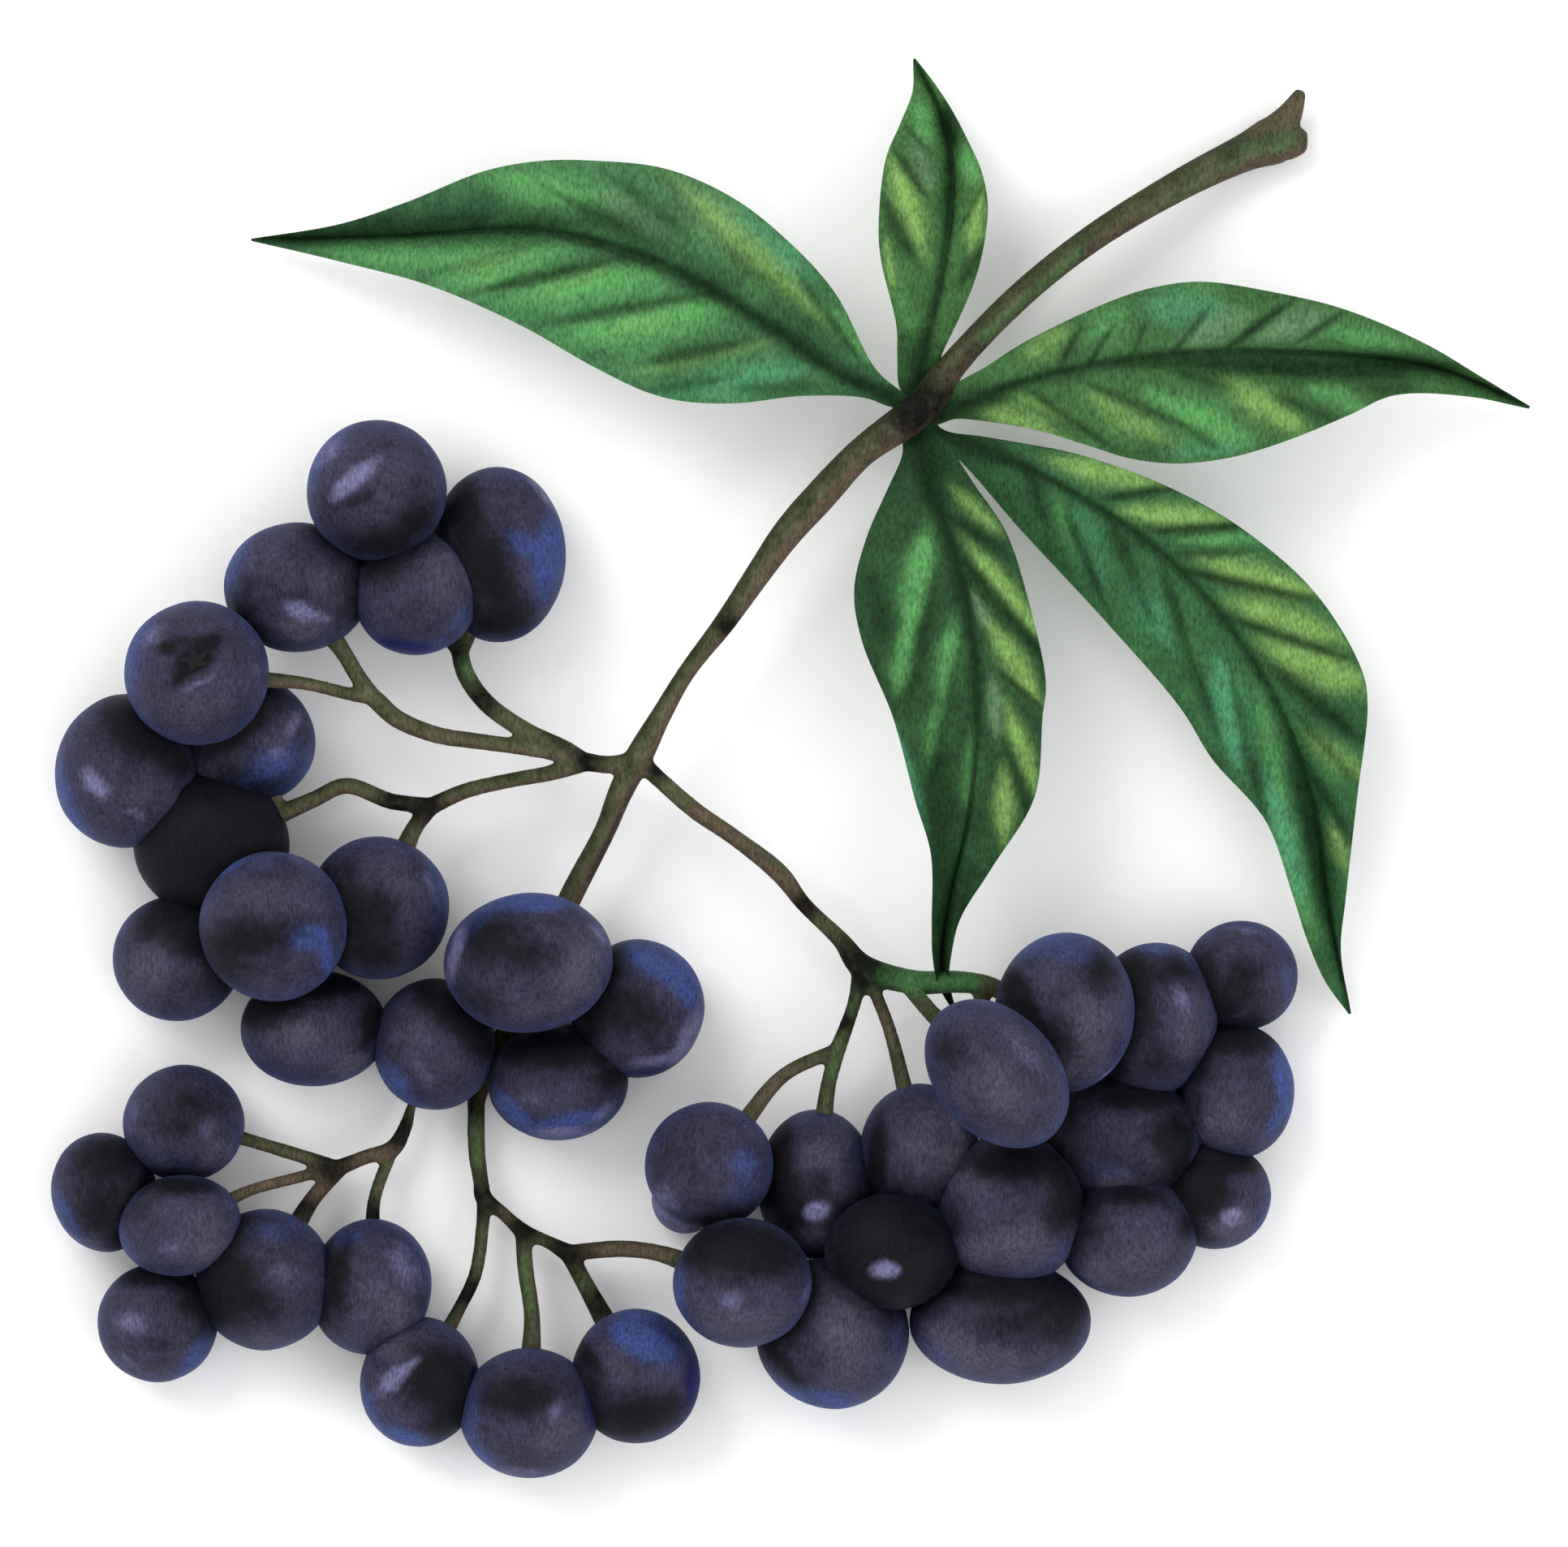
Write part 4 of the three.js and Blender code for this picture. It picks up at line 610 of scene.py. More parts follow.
# Strokes on the blades, by kind, from u, v to u, v, with half width and strength. Dark
# ones are side veins and shaded flanks, the others the tints of the bands between them.
STROKES = {
    "leaf_left": {"leafy": [[30.3, 11.3, 37, 12.4, 0.8, 0.85], [50.2, 18.6, 53.2, 21.7, 0.35, 0.8],
            [22.5, 16.1, 34, 15.6, 0.6, 0.8], [27.5, 17.6, 34, 16.6, 0.6, 0.7],
            [32, 18.7, 40.5, 16.9, 0.7, 0.9], [35.6, 20.9, 45, 18.9, 0.85, 1],
            [19.5, 15.5, 26, 15.3, 0.35, 0.5]],
        "grey": [[37.1, 12.1, 41, 14.5, 0.6, 0.4], [41.5, 11.6, 46, 15.2, 0.8, 0.5]],
        "lime": [[42.2, 11.9, 50.2, 19.4, 0.55, 0.75], [28, 16.6, 32.5, 15.9, 0.4, 0.25],
            [33.5, 18, 37.4, 16.6, 0.35, 0.2], [37.5, 20.7, 41, 19.7, 0.4, 0.25],
            [39.6, 23, 47.8, 21.1, 0.3, 0.3]],
        "teal": [[45.8, 13.6, 49.6, 17, 0.6, 0.6], [24, 12.9, 31, 12.7, 0.4, 0.4],
            [41, 24.2, 49.5, 22.9, 0.5, 0.7]],
        "dark": [[38, 14.2, 50, 21.2, 0.9, 0.5], [34.1, 12, 39.6, 14.8, 0.35, 0.55],
            [38, 11.2, 42.3, 14.6, 0.4, 0.5], [40.7, 10.9, 44.4, 14.9, 0.4, 0.35],
            [45, 15.5, 51.3, 21.2, 0.6, 0.5], [18, 14.4, 36.9, 13.9, 1, 0.8],
            [21, 13.3, 31, 12.6, 1.1, 0.45], [34.7, 14.5, 41.4, 16.8, 0.5, 0.7],
            [41.4, 16.8, 46, 19.3, 0.5, 0.65], [46, 19.3, 54.8, 24.6, 0.5, 0.65],
            [49.6, 17.6, 53, 22.4, 0.3, 0.7], [30, 18, 38, 16.1, 0.33, 0.85],
            [34.7, 19.9, 43.3, 18.3, 0.33, 0.75], [27, 16.9, 33, 15.2, 0.3, 0.4],
            [40.1, 22.4, 46, 21.2, 0.4, 0.75], [39.6, 24.3, 45, 23.4, 0.3, 0.6],
            [45.5, 24.1, 51, 23.9, 0.35, 0.5], [16, 14.8, 21, 14.8, 0.6, 0.5]]},
    "leaf_top": {"leafy": [[56.4, 6.4, 57.3, 8.9, 0.45, 0.75], [55.2, 17.6, 56.3, 20.8, 0.35, 0.35],
            [59.5, 9.5, 60.1, 11.4, 0.42, 0.75]], "grey": [[56.3, 8.9, 57.3, 11.7, 0.42, 0.5]],
        "lime": [[55, 10.2, 56.8, 15.4, 0.5, 0.95], [54.6, 14.9, 54.95, 17.8, 0.2, 0.7],
            [60.4, 12.1, 59.8, 15.6, 0.32, 0.85]],
        "dark": [[55.6, 7.6, 57.1, 9.4, 0.18, 0.5], [55, 9.2, 56.9, 12.1, 0.22, 0.75],
            [54.2, 12.1, 56.3, 16.2, 0.36, 0.75], [60.5, 11.7, 59.1, 14.2, 0.15, 0.5],
            [60.5, 15.3, 59.1, 17.8, 0.32, 0.6], [58.2, 6.6, 58.8, 9.2, 0.5, 1],
            [58.5, 9.5, 58.3, 15, 0.4, 0.6], [56.4, 20.6, 56.7, 24.4, 1.3, 0.6]]},
    "leaf_right": {"lime": [[63, 22.2, 65.6, 20.4, 0.5, 0.5], [60.3, 25.2, 65, 27, 0.5, 0.9],
            [62.5, 24.4, 66.5, 26.2, 0.3, 0.4], [67.2, 24.5, 71.5, 27.2, 0.5, 0.6],
            [75.6, 23.8, 80, 26.6, 0.55, 0.85]],
        "leafy": [[67, 21, 69.2, 19.3, 0.6, 0.5], [82, 20.6, 86.5, 21.4, 0.45, 0.6],
            [71, 24.6, 76.5, 27.2, 0.65, 0.9], [80.6, 23.9, 84, 25.4, 0.45, 0.7]],
        "teal": [[70.5, 19, 75, 19.4, 0.8, 0.65], [72, 28, 76.5, 27.6, 0.35, 0.5]],
        "grey": [[72.8, 21.2, 76.6, 19.6, 0.6, 0.6], [77.6, 20.9, 81.4, 19.5, 0.6, 0.65]],
        "dark": [[65.2, 22.7, 66.4, 20.5, 0.16, 0.7], [66.9, 22.7, 68.5, 20.2, 0.16, 0.7],
            [69.6, 22.1, 70.5, 20, 0.18, 0.6], [72.1, 21.9, 74.3, 19.2, 0.2, 0.75],
            [75.6, 21.5, 79.4, 18.7, 0.24, 0.85], [79.7, 21.3, 82.4, 19.5, 0.18, 0.75],
            [70, 22.5, 90, 22.6, 0.6, 0.9], [76.5, 22.9, 86, 23.2, 0.4, 0.8],
            [57.4, 26, 61.8, 24.4, 0.8, 0.6], [63.4, 24.2, 68.2, 27.6, 0.28, 0.75],
            [66.9, 23.8, 72.5, 26.2, 0.28, 0.65], [72.5, 26.2, 75, 27.8, 0.28, 0.5],
            [72.2, 23, 76, 24.1, 0.35, 0.6], [78.5, 24.5, 82.5, 26.2, 0.3, 0.6],
            [84, 24, 87, 24, 0.4, 0.6], [88, 22.8, 93.5, 24.8, 0.5, 0.4]]},
    "leaf_lower_right": {"lime": [[65.1, 28.5, 71, 29.8, 0.5, 0.95], [69.4, 31.6, 75.2, 32.1, 0.45, 1],
            [74.3, 34.7, 80.5, 36.5, 0.55, 0.95], [76, 37.2, 82, 39.2, 0.55, 0.95],
            [78, 39.8, 83.7, 42.2, 0.8, 0.95], [80.6, 45.3, 83.7, 47.8, 0.45, 0.7],
            [81.9, 50.7, 82.9, 53.5, 0.4, 0.6]],
        "leafy": [[72.8, 33.4, 77.7, 33.2, 0.25, 0.7], [75.5, 41.5, 76.8, 46, 0.4, 0.5],
            [65.1, 30.9, 66.6, 35.1, 0.4, 0.5], [72.8, 38.3, 73.8, 41.8, 0.35, 0.5],
            [77.5, 43.3, 78.7, 48.2, 0.4, 0.5], [78.6, 48.5, 80.6, 57, 0.5, 0.7]],
        "dark": [[68.1, 30.8, 72.4, 30.1, 0.24, 0.85], [71, 32.8, 77, 32.4, 0.24, 0.85],
            [72.3, 34.2, 76.8, 34.1, 0.2, 0.5], [73, 35.3, 80.8, 37, 0.28, 0.85],
            [76, 38.3, 83.2, 40.7, 0.26, 0.85], [78, 41, 83.9, 45.8, 0.5, 0.85],
            [80, 44.4, 83.5, 48.2, 0.3, 0.6], [80.4, 47.2, 83.2, 51.9, 0.4, 0.85],
            [63.2, 29, 64.4, 32.4, 0.35, 0.7], [65.6, 31.7, 67.9, 37.2, 0.35, 0.8],
            [68.4, 32.2, 70.8, 38.3, 0.4, 0.7], [71.6, 35.4, 74.8, 45.2, 0.38, 0.8],
            [75.8, 41.8, 77.5, 49.4, 0.36, 0.7], [79.6, 46.5, 82, 57.5, 0.6, 0.85],
            [59, 28.2, 66, 35.6, 1.3, 0.5], [58, 26.5, 63, 28.6, 0.5, 0.6]],
        "teal": [[66.4, 31.2, 67.7, 36.2, 0.5, 0.5], [69.8, 36, 71.9, 39.8, 0.55, 0.65],
            [74.8, 41, 76.3, 47, 0.7, 0.95], [78.1, 48.2, 80, 55, 0.6, 0.95]]},
    "leaf_lower": {"leafy": [[57, 33, 55.9, 38.7, 0.6, 0.95], [55.9, 38.7, 55.2, 42.3, 0.5, 0.8],
            [58.6, 38.7, 58.1, 43.2, 0.5, 0.75], [58.1, 43.2, 57.2, 46.9, 0.45, 0.6],
            [59.9, 45.3, 59.5, 49.6, 0.4, 0.4]], "teal": [[54.9, 44.6, 57, 50.7, 0.28, 0.7]],
        "dark": [[53.4, 35.1, 54.9, 40.5, 0.6, 0.45], [57.7, 35.5, 56.1, 42.8, 0.36, 0.7],
            [59, 40.5, 57.4, 48.2, 0.4, 0.7], [58.6, 31.9, 62, 34.2, 0.3, 0.7],
            [59.5, 34.8, 64.4, 40.7, 0.36, 0.85], [61.5, 41.4, 64.4, 43.9, 0.18, 0.75],
            [62, 46, 63.4, 50.5, 0.28, 0.75], [57.7, 46.5, 57.6, 53, 0.9, 0.6],
            [58.5, 52.5, 58.1, 57.6, 1.1, 0.75], [57, 26.8, 57.6, 31.5, 0.9, 0.6]],
        "lime": [[58.7, 30.2, 61.5, 32.8, 0.34, 0.65], [59.9, 33.9, 64.2, 39.4, 0.4, 0.95],
            [61.1, 38.7, 63.8, 43, 0.45, 1], [62, 43.7, 63.8, 48.7, 0.4, 0.85],
            [61.8, 47.5, 61.8, 51.6, 0.42, 0.85]],
        "grey": [[59.9, 36.7, 60.8, 38.7, 0.25, 0.7], [61.1, 41.9, 61.3, 45.3, 0.3, 0.7]]},
}

# The camera stands straight above, far off, so that the view has hardly any perspective.
VIEW_U = 48.3
VIEW_V = 47.65
VIEW_WIDTH = 96.6
LENS = 600.0
SENSOR = 36.0
CLIP = (0.1, 20.0)

# Half the width of the table and the strength of the white surroundings.
TABLE_HALF = 4000.0
WORLD_STRENGTH = 1.05


def on_table(u, v, height):
    """A point of the sheet with its height, in millimetres of the object's frame."""
    return np.array([u - ORIGIN_U, ORIGIN_V - v, height])


def linear(red, green, blue):
    """A colour as it looks in the studio light, given in the usual 0 to 255 steps."""
    steps = [value / 255 for value in (red, green, blue)]
    light = [s / 12.92 if s <= 0.04045 else ((s + 0.055) / 1.055) ** 2.4 for s in steps]
    return (*[value * COLOUR_KEPT for value in light], 1.0)


# Curves


def hermite(here, there, start, end, t):
    """Cubic from here to there, with a slope at each end, at share t of the way."""
    return (
        here + start * t + (3 * (there - here) - 2 * start - end) * t ** 2
        + (2 * (here - there) + start + end) * t ** 3
    )


def smooth_path(points, per_span=12):
    """Centripetal Catmull-Rom curve through points of any dimension."""
    points = np.asarray(points, float)
    padded = np.vstack([2 * points[0] - points[1], points, 2 * points[-1] - points[-2]])
    gaps = np.linalg.norm(np.diff(padded[:, :3], axis=0), axis=1)
    spans = np.maximum(np.sqrt(gaps), LEAST_SPAN)
    out = []
    for i in range(1, len(padded) - 2):
        a, b, c, d = padded[i - 1:i + 3]
        before, here, after = spans[i - 1:i + 2]
        start = ((b - a) / before - (c - a) / (before + here) + (c - b) / here) * here
        end = ((c - b) / here - (d - b) / (here + after) + (d - c) / after) * here
        out += [hermite(b, c, start, end, k / per_span) for k in range(per_span)]
    return np.array([*out, points[-1]])


def even_points(path, shares):
    """Points of a path at shares of its length."""
    lengths = np.linalg.norm(np.diff(path[:, :3], axis=0), axis=1)
    run = np.concatenate([[0], np.cumsum(lengths)])
    run /= run[-1]
    return np.column_stack([np.interp(shares, run, column) for column in path.T])


def even_heights(heights, shares):
    """Heights between evenly spaced ones, by a uniform Catmull-Rom curve."""
    values = np.array([heights[0], *heights, heights[-1]])
    last = len(heights) - 1
    place = np.clip(shares * last, 0, last)
    k = np.minimum(place.astype(int), last - 1)
    a, b, c, d = (values[k + i] for i in range(4))
    return hermite(b, c, (c - a) / 2, (d - b) / 2, place - k)


def ramp(values, low, high):
    """Even rise from 0 at low to 1 at high, and the other way round if low is higher."""
    return np.clip((values - low) / (high - low), 0, 1)


def soft_step(values, low, high):
    """Rise from 0 at low to 1 at high that is smooth at both ends."""
    share = ramp(values, low, high)
    return share * share * (3 - 2 * share)


def hump(distance, width):
    """Bell curve, 1 high."""
    return np.exp(-(distance / width) ** 2)


def near_line(places, ends, low, high):
    """Share along a line of the sheet and distance from it, for each place. The line runs
    from share low to share high."""
    u0, v0, u1, v1 = ends
    start, end = on_table(u0, v0, 0)[:2], on_table(u1, v1, 0)[:2]
    line = end - start
    away = places[:, :2] - start
    share = away @ line / (line @ line)
    off = away - np.clip(share, low, high)[:, None] * line
    return share, np.linalg.norm(off, axis=1)


# Berries: places


def radius_toward(berry, way):
    """Radius of a berry's outline on the sheet, along one way from its centre or many."""
    turned = np.arctan2(way[..., 1], way[..., 0]) - berry["turn"]
    return 1 / np.hypot(np.cos(turned) / berry["half"][0], np.sin(turned) / berry["half"][1])


def place_berries():
    """All berries. One that lies on the table is a little flat below."""
    placed = []
    for bunch, rows in BUNCHES.items():
        for number, u, v, across, along, turn, height in rows:
            deep = min((across + along) / 2, height + BERRY_FLAT)
            placed.append({
                "number": number, "bunch": bunch, "centre": on_table(u, v, height),
                "half": np.array([across, along, deep]), "turn": math.radians(turn),
            })
    return placed


def stalk_path(row, berries):
    """Points and radii of a stalk, which rises evenly and ends in its berry's side."""
    number, radius, start, *bends = row
    berry = next(one for one in berries if one["number"] == number)
    centre = berry["centre"]
    points = [on_table(*start)] + [on_table(u, v, start[2]) for u, v in bends]
    steps = [0.0] + [np.linalg.norm(b - a) for a, b in zip(points, points[1:])]
    runs = np.cumsum(steps)
    total = runs[-1] + math.hypot(*(centre - points[-1])[:2])
    for point, run in zip(points, runs):
        point[2] = start[2] + (centre[2] - start[2]) * run / total
    back = points[-1] - centre
    depth = min(radius_toward(berry, back), berry["half"][2]) - STALK_SINK
    berry["stalk_side"] = back / np.linalg.norm(back)
    points.append(centre + berry["stalk_side"] * depth)
    radii = [radius] * (len(points) - 1) + [radius * STALK_FLARE]
    return np.column_stack([points, radii])


# Node trees


def add_node(tree, kind, values=None, **settings):
    """A node with its settings, and with values or links on its inputs."""
    made = tree.nodes.new(kind)
    for name, value in settings.items():
        setattr(made, name, value)
    for key, value in (values or {}).items():
        if isinstance(value, bpy.types.NodeSocket):
            tree.links.new(value, made.inputs[key])
        else:
            made.inputs[key].default_value = value
    return made


def maths(tree, operation, first, second=None, third=None, clamp=False):
    """Output of a Math node on one, two or three values or sockets."""
    values = {i: v for i, v in enumerate((first, second, third)) if v is not None}
    made = add_node(tree, "ShaderNodeMath", values, operation=operation, use_clamp=clamp)
    return made.outputs[0]


def vector_maths(tree, operation, first, second=None):
    """Vector output of a Vector Math node, or its value for a dot product or length."""
    values = {i: v for i, v in enumerate((first, second)) if v is not None}
    made = add_node(tree, "ShaderNodeVectorMath", values, operation=operation)
    single = operation in ("DOT_PRODUCT", "LENGTH", "DISTANCE")
    return made.outputs["Value" if single else "Vector"]


def ease(tree, value, low, high, to_low=0.0, to_high=1.0):
    """Smooth step of a value from one range to another."""
    made = add_node(
        tree, "ShaderNodeMapRange",
        {"Value": value, "From Min": low, "From Max": high, "To Min": to_low,
         "To Max": to_high},
        interpolation_type="SMOOTHSTEP",
    )
    return made.outputs["Result"]


def mix_colour(tree, factor, first, second, blend="MIX"):
    """Colour output of a Mix node."""
    made = add_node(
        tree, "ShaderNodeMix", {0: factor, 6: first, 7: second},
        data_type="RGBA", blend_type=blend, clamp_factor=True,
    )
    return made.outputs[2]


def noise(tree, vector, scale, detail=3.0, roughness=0.55):
    """Value of a noise texture about 0.5."""
    made = add_node(
        tree, "ShaderNodeTexNoise",
        {"Vector": vector, "Scale": scale, "Detail": detail, "Roughness": roughness},
    )
    return made.outputs[0]


def attribute(tree, name):
    """Value output of a float attribute in a material."""
    return add_node(tree, "ShaderNodeAttribute", attribute_name=name).outputs["Fac"]


def make_group(name, inputs, outputs):
    """Empty shader node group with named sockets: the group, its inputs and outputs."""
    group = bpy.data.node_groups.new(name, "ShaderNodeTree")
    for label, kind, value in inputs:
        socket = group.interface.new_socket(label, in_out="INPUT", socket_type=kind)
        if value is not None:
            socket.default_value = value
    for label, kind in outputs:
        group.interface.new_socket(label, in_out="OUTPUT", socket_type=kind)
    entry = group.nodes.new("NodeGroupInput")
    leave = group.nodes.new("NodeGroupOutput")
    return group, entry.outputs, leave.inputs


def use_group(tree, group, values):
    """A placed node group, by its outputs."""
    return add_node(tree, "ShaderNodeGroup", values, node_tree=group).outputs


def make_material(name, **fixed):
    """Material with a Principled shader whose constant sockets are set."""
    material = bpy.data.materials.new(name)
    material.use_nodes = True
    tree = material.node_tree
    shader = tree.nodes["Principled BSDF"]
    for key, value in fixed.items():
        shader.inputs[key.replace("_", " ")].default_value = value
    return material, tree, shader


def add_bump(tree, shader, height, strength, distance):
    """Bump node on the shader's normal."""
    bump = add_node(
        tree, "ShaderNodeBump",
        {"Height": height, "Strength": strength, "Distance": distance},
    )
    tree.links.new(bump.outputs["Normal"], shader.inputs["Normal"])


# Shared effects


def paper_grain_group():
    """Fine upright grain, as of pigment on paper: about 1, a little up and down."""
    group, given, result = make_group(
        "paper grain",
        [("Amount", "NodeSocketFloat", 0.3), ("Size", "NodeSocketFloat", 0.12)],
        [("Shade", "NodeSocketFloat"), ("Height", "NodeSocketFloat")],
    )
    place = add_node(group, "ShaderNodeTexCoord").outputs["Object"]
    stretched = vector_maths(group, "MULTIPLY", place, (1.0, 0.35, 1.0))
    scale = maths(group, "DIVIDE", 1000.0, given["Size"])
    fine = noise(group, stretched, scale, detail=1.5)
    coarse = noise(group, place, 900.0, detail=2.0)
    both = maths(group, "ADD", maths(group, "MULTIPLY", fine, 0.75),
                 maths(group, "MULTIPLY", coarse, 0.25))
    centred = maths(group, "SUBTRACT", both, 0.5)
    shade = maths(group, "MULTIPLY_ADD", centred, maths(group, "MULTIPLY", given["Amount"], 4.0), 1.0)
    group.links.new(shade, result["Shade"])
    group.links.new(both, result["Height"])
    return group


def wash_group():
    """Soft cloudy patches, as of a wet wash, from 0 to 1."""
    group, given, result = make_group(
        "wash", [("Size", "NodeSocketFloat", 3.0), ("Contrast", "NodeSocketFloat", 2.0)],
        [("Mask", "NodeSocketFloat")],
    )
    place = add_node(group, "ShaderNodeTexCoord").outputs["Object"]
    cloud = noise(group, place, maths(group, "DIVIDE", 1000.0, given["Size"]), detail=4.0)
    centred = maths(group, "SUBTRACT", cloud, 0.5)
    mask = maths(group, "MULTIPLY_ADD", centred, given["Contrast"], 0.5, clamp=True)
    group.links.new(mask, result["Mask"])
    return group


# Materials


def grained_colour(tree, colour, shade):
    """A colour multiplied by a grey shade."""
    grey = add_node(tree, "ShaderNodeCombineColor", {0: shade, 1: shade, 2: shade})
    return mix_colour(tree, 1.0, colour, grey.outputs[0], blend="MULTIPLY")


def frayed(tree, name, noise_value, fray, low, high):
    """Mask from a painted attribute, with its edge frayed by noise."""
    shifted = maths(tree, "MULTIPLY_ADD", noise_value, fray, attribute(tree, name))
    return ease(tree, maths(tree, "SUBTRACT", shifted, fray / 2), low, high)


def tinted(tree, colour, mask, share, tint):
    """A colour with a tint over it where a mask lies, at a share of its strength."""
    return mix_colour(tree, maths(tree, "MULTIPLY", mask, share), colour, linear(*tint))


def dress(tree, shader, colour, grained, roughness, relief, strength, depth):
    """Joins a colour with its grain, a roughness and a relief to the shader."""
    shaded = grained_colour(tree, colour, grained["Shade"])
    tree.links.new(shaded, shader.inputs["Base Color"])
    tree.links.new(roughness, shader.inputs["Roughness"])
    add_bump(tree, shader, relief, strength, depth)


def berry_material(grain, wash):
    """Blue-black skin with a waxy bloom. Its dark tint is painted shade, its light and pale tints
    painted highlights, its blue the bloom's own with painted rim light.
    """
    material, tree, shader = make_material(
        "berry skin", Specular_IOR_Level=0.08, Coat_Weight=0.01, Coat_Roughness=0.35,
        Sheen_Weight=0.03, Sheen_Roughness=0.4, Sheen_Tint=(0.3, 0.42, 0.9, 1.0),
    )
    broad = use_group(tree, wash, {"Size": 2.6, "Contrast": 2.4})["Mask"]
    fine = use_group(tree, wash, {"Size": 0.8, "Contrast": 2.0})["Mask"]
    body = mix_colour(tree, broad, linear(58, 55, 75), linear(73, 69, 97))
    # Light and pale are painted highlights, blue is the bloom's blue with painted rim light, deep is
    # deep-blue strokes, dark is painted shade.
    for kind, patches, fray, low, high, share, tint in (
        ("light", broad, 0.3, 0.0, 1.0, 0.8, (98, 93, 114)),
        ("blue", fine, 0.25, 0.05, 1.05, 1.0, (72, 90, 154)),
        ("deep", broad, 0.3, 0.15, 1.0, 0.85, (30, 36, 110)),
        ("dark", fine, 0.35, 0.0, 0.9, 0.94, (15, 15, 19)),
        ("pale", fine, 0.25, 0.15, 0.9, 0.85, (142, 139, 186)),
    ):
        body = tinted(tree, body, frayed(tree, kind, patches, fray, low, high), share, tint)
    grained = use_group(tree, grain, {"Amount": 0.6, "Size": 0.16})
    roughness = maths(tree, "MULTIPLY_ADD", broad, 0.2, 0.5)
    dress(tree, shader, body, grained, roughness, grained["Height"], 0.12, 0.0001)
    return material


def brushed(tree, name, noise_value, unevenness):
    """Mask from a painted attribute, laid on unevenly."""
    lay = maths(tree, "MULTIPLY_ADD", noise_value, unevenness, 1 - unevenness / 2)
    return maths(tree, "MULTIPLY", attribute(tree, name), lay, clamp=True)


def leaf_material(name, ground, grain, wash):
    """Green blade: dark midrib, side veins and painted shade on shaded flanks, tinted bands between
    them, paler back.
    """
    material, tree, shader = make_material(
        name, Specular_IOR_Level=0.07, Coat_Weight=0.01, Coat_Roughness=0.4,
        Sheen_Weight=0.01, Sheen_Tint=(0.6, 0.8, 0.5, 1.0),
    )
    clouds = use_group(tree, wash, {"Size": 4.0, "Contrast": 2.6})["Mask"]
    flecks = use_group(tree, wash, {"Size": 0.9, "Contrast": 1.8})["Mask"]
    deeper = [value * 0.86 for value in ground]
    lighter = [value * 1.12 for value in ground]
    colour = mix_colour(tree, clouds, linear(*deeper), linear(*lighter))
    masks = {}
    for kind, unevenness, share, tint in (
        ("leafy", 0.5, 0.9, (110, 190, 108)), ("teal", 0.5, 0.85, (92, 174, 124)),
        ("grey", 0.5, 0.8, (132, 172, 128)), ("lime", 0.5, 0.9, (152, 202, 108)),
        ("dark", 0.4, 0.96, (14, 46, 19)), ("midrib", 0.3, 0.95, (14, 46, 19)),
    ):
        masks[kind] = brushed(tree, kind, flecks, unevenness)
        colour = tinted(tree, colour, masks[kind], share, tint)
    colour = tinted(tree, colour, attribute(tree, "back"), 0.6, (112, 140, 96))
    grained = use_group(tree, grain, {"Amount": 0.55, "Size": 0.17})
    grooves = maths(tree, "MAXIMUM", masks["dark"], masks["midrib"])
    relief = maths(tree, "SUBTRACT", maths(tree, "MULTIPLY", grained["Height"], 0.25), grooves)
    roughness = maths(tree, "MULTIPLY_ADD", flecks, 0.15, 0.5)
    dress(tree, shader, colour, grained, roughness, relief, 0.3, 0.0001)
    return material


def bark_material(grain, wash):
    """Young bark: green-brown above, purple-brown on its shaded side, near black at the
    knots, with pale breathing pores."""
    material, tree, shader = make_material(
        "green bark", Specular_IOR_Level=0.07, Coat_Weight=0.01, Coat_Roughness=0.4,
    )
    patches = use_group(tree, wash, {"Size": 2.2, "Contrast": 3.0})["Mask"]
    streaks = use_group(tree, wash, {"Size": 0.8, "Contrast": 3.2})["Mask"]
    uneven = maths(tree, "MULTIPLY_ADD", streaks, 0.7, 0.45)
    colour = mix_colour(tree, patches, linear(66, 84, 50), linear(112, 116, 84))
    for kind, lay, share, tint in (
        ("shadow_side", uneven, 1.0, (118, 96, 84)), ("left_side", 1.0, 0.8, (52, 54, 32)),
        ("brown", uneven, 1.0, (120, 98, 84)), ("fresh", 1.0, 1.0, (88, 150, 88)),
        ("dusk", uneven, 1.0, (34, 32, 30)), ("thin", patches, 0.5, (44, 46, 30)),
    ):
        mask = maths(tree, "MULTIPLY", attribute(tree, kind), lay, clamp=True)
        colour = tinted(tree, colour, mask, share, tint)
    place = add_node(tree, "ShaderNodeTexCoord").outputs["Object"]
    cells = add_node(tree, "ShaderNodeTexVoronoi", {"Vector": place, "Scale": 620.0})
    pores = ease(tree, cells.outputs["Distance"], 0.16, 0.06)
    colour = tinted(tree, colour, pores, 0.3, (128, 118, 88))
    lay = maths(tree, "MULTIPLY_ADD", streaks, 0.4, 0.8)
    knot = maths(tree, "MULTIPLY", attribute(tree, "knot"), lay, clamp=True)
    colour = tinted(tree, colour, knot, 0.95, (13, 12, 11))
    grained = use_group(tree, grain, {"Amount": 0.6, "Size": 0.17})
    relief = maths(tree, "ADD", grained["Height"], maths(tree, "MULTIPLY", pores, 0.6))
    roughness = maths(tree, "MULTIPLY_ADD", streaks, 0.2, 0.55)
    dress(tree, shader, colour, grained, roughness, relief, 0.35, 0.00008)
    return material


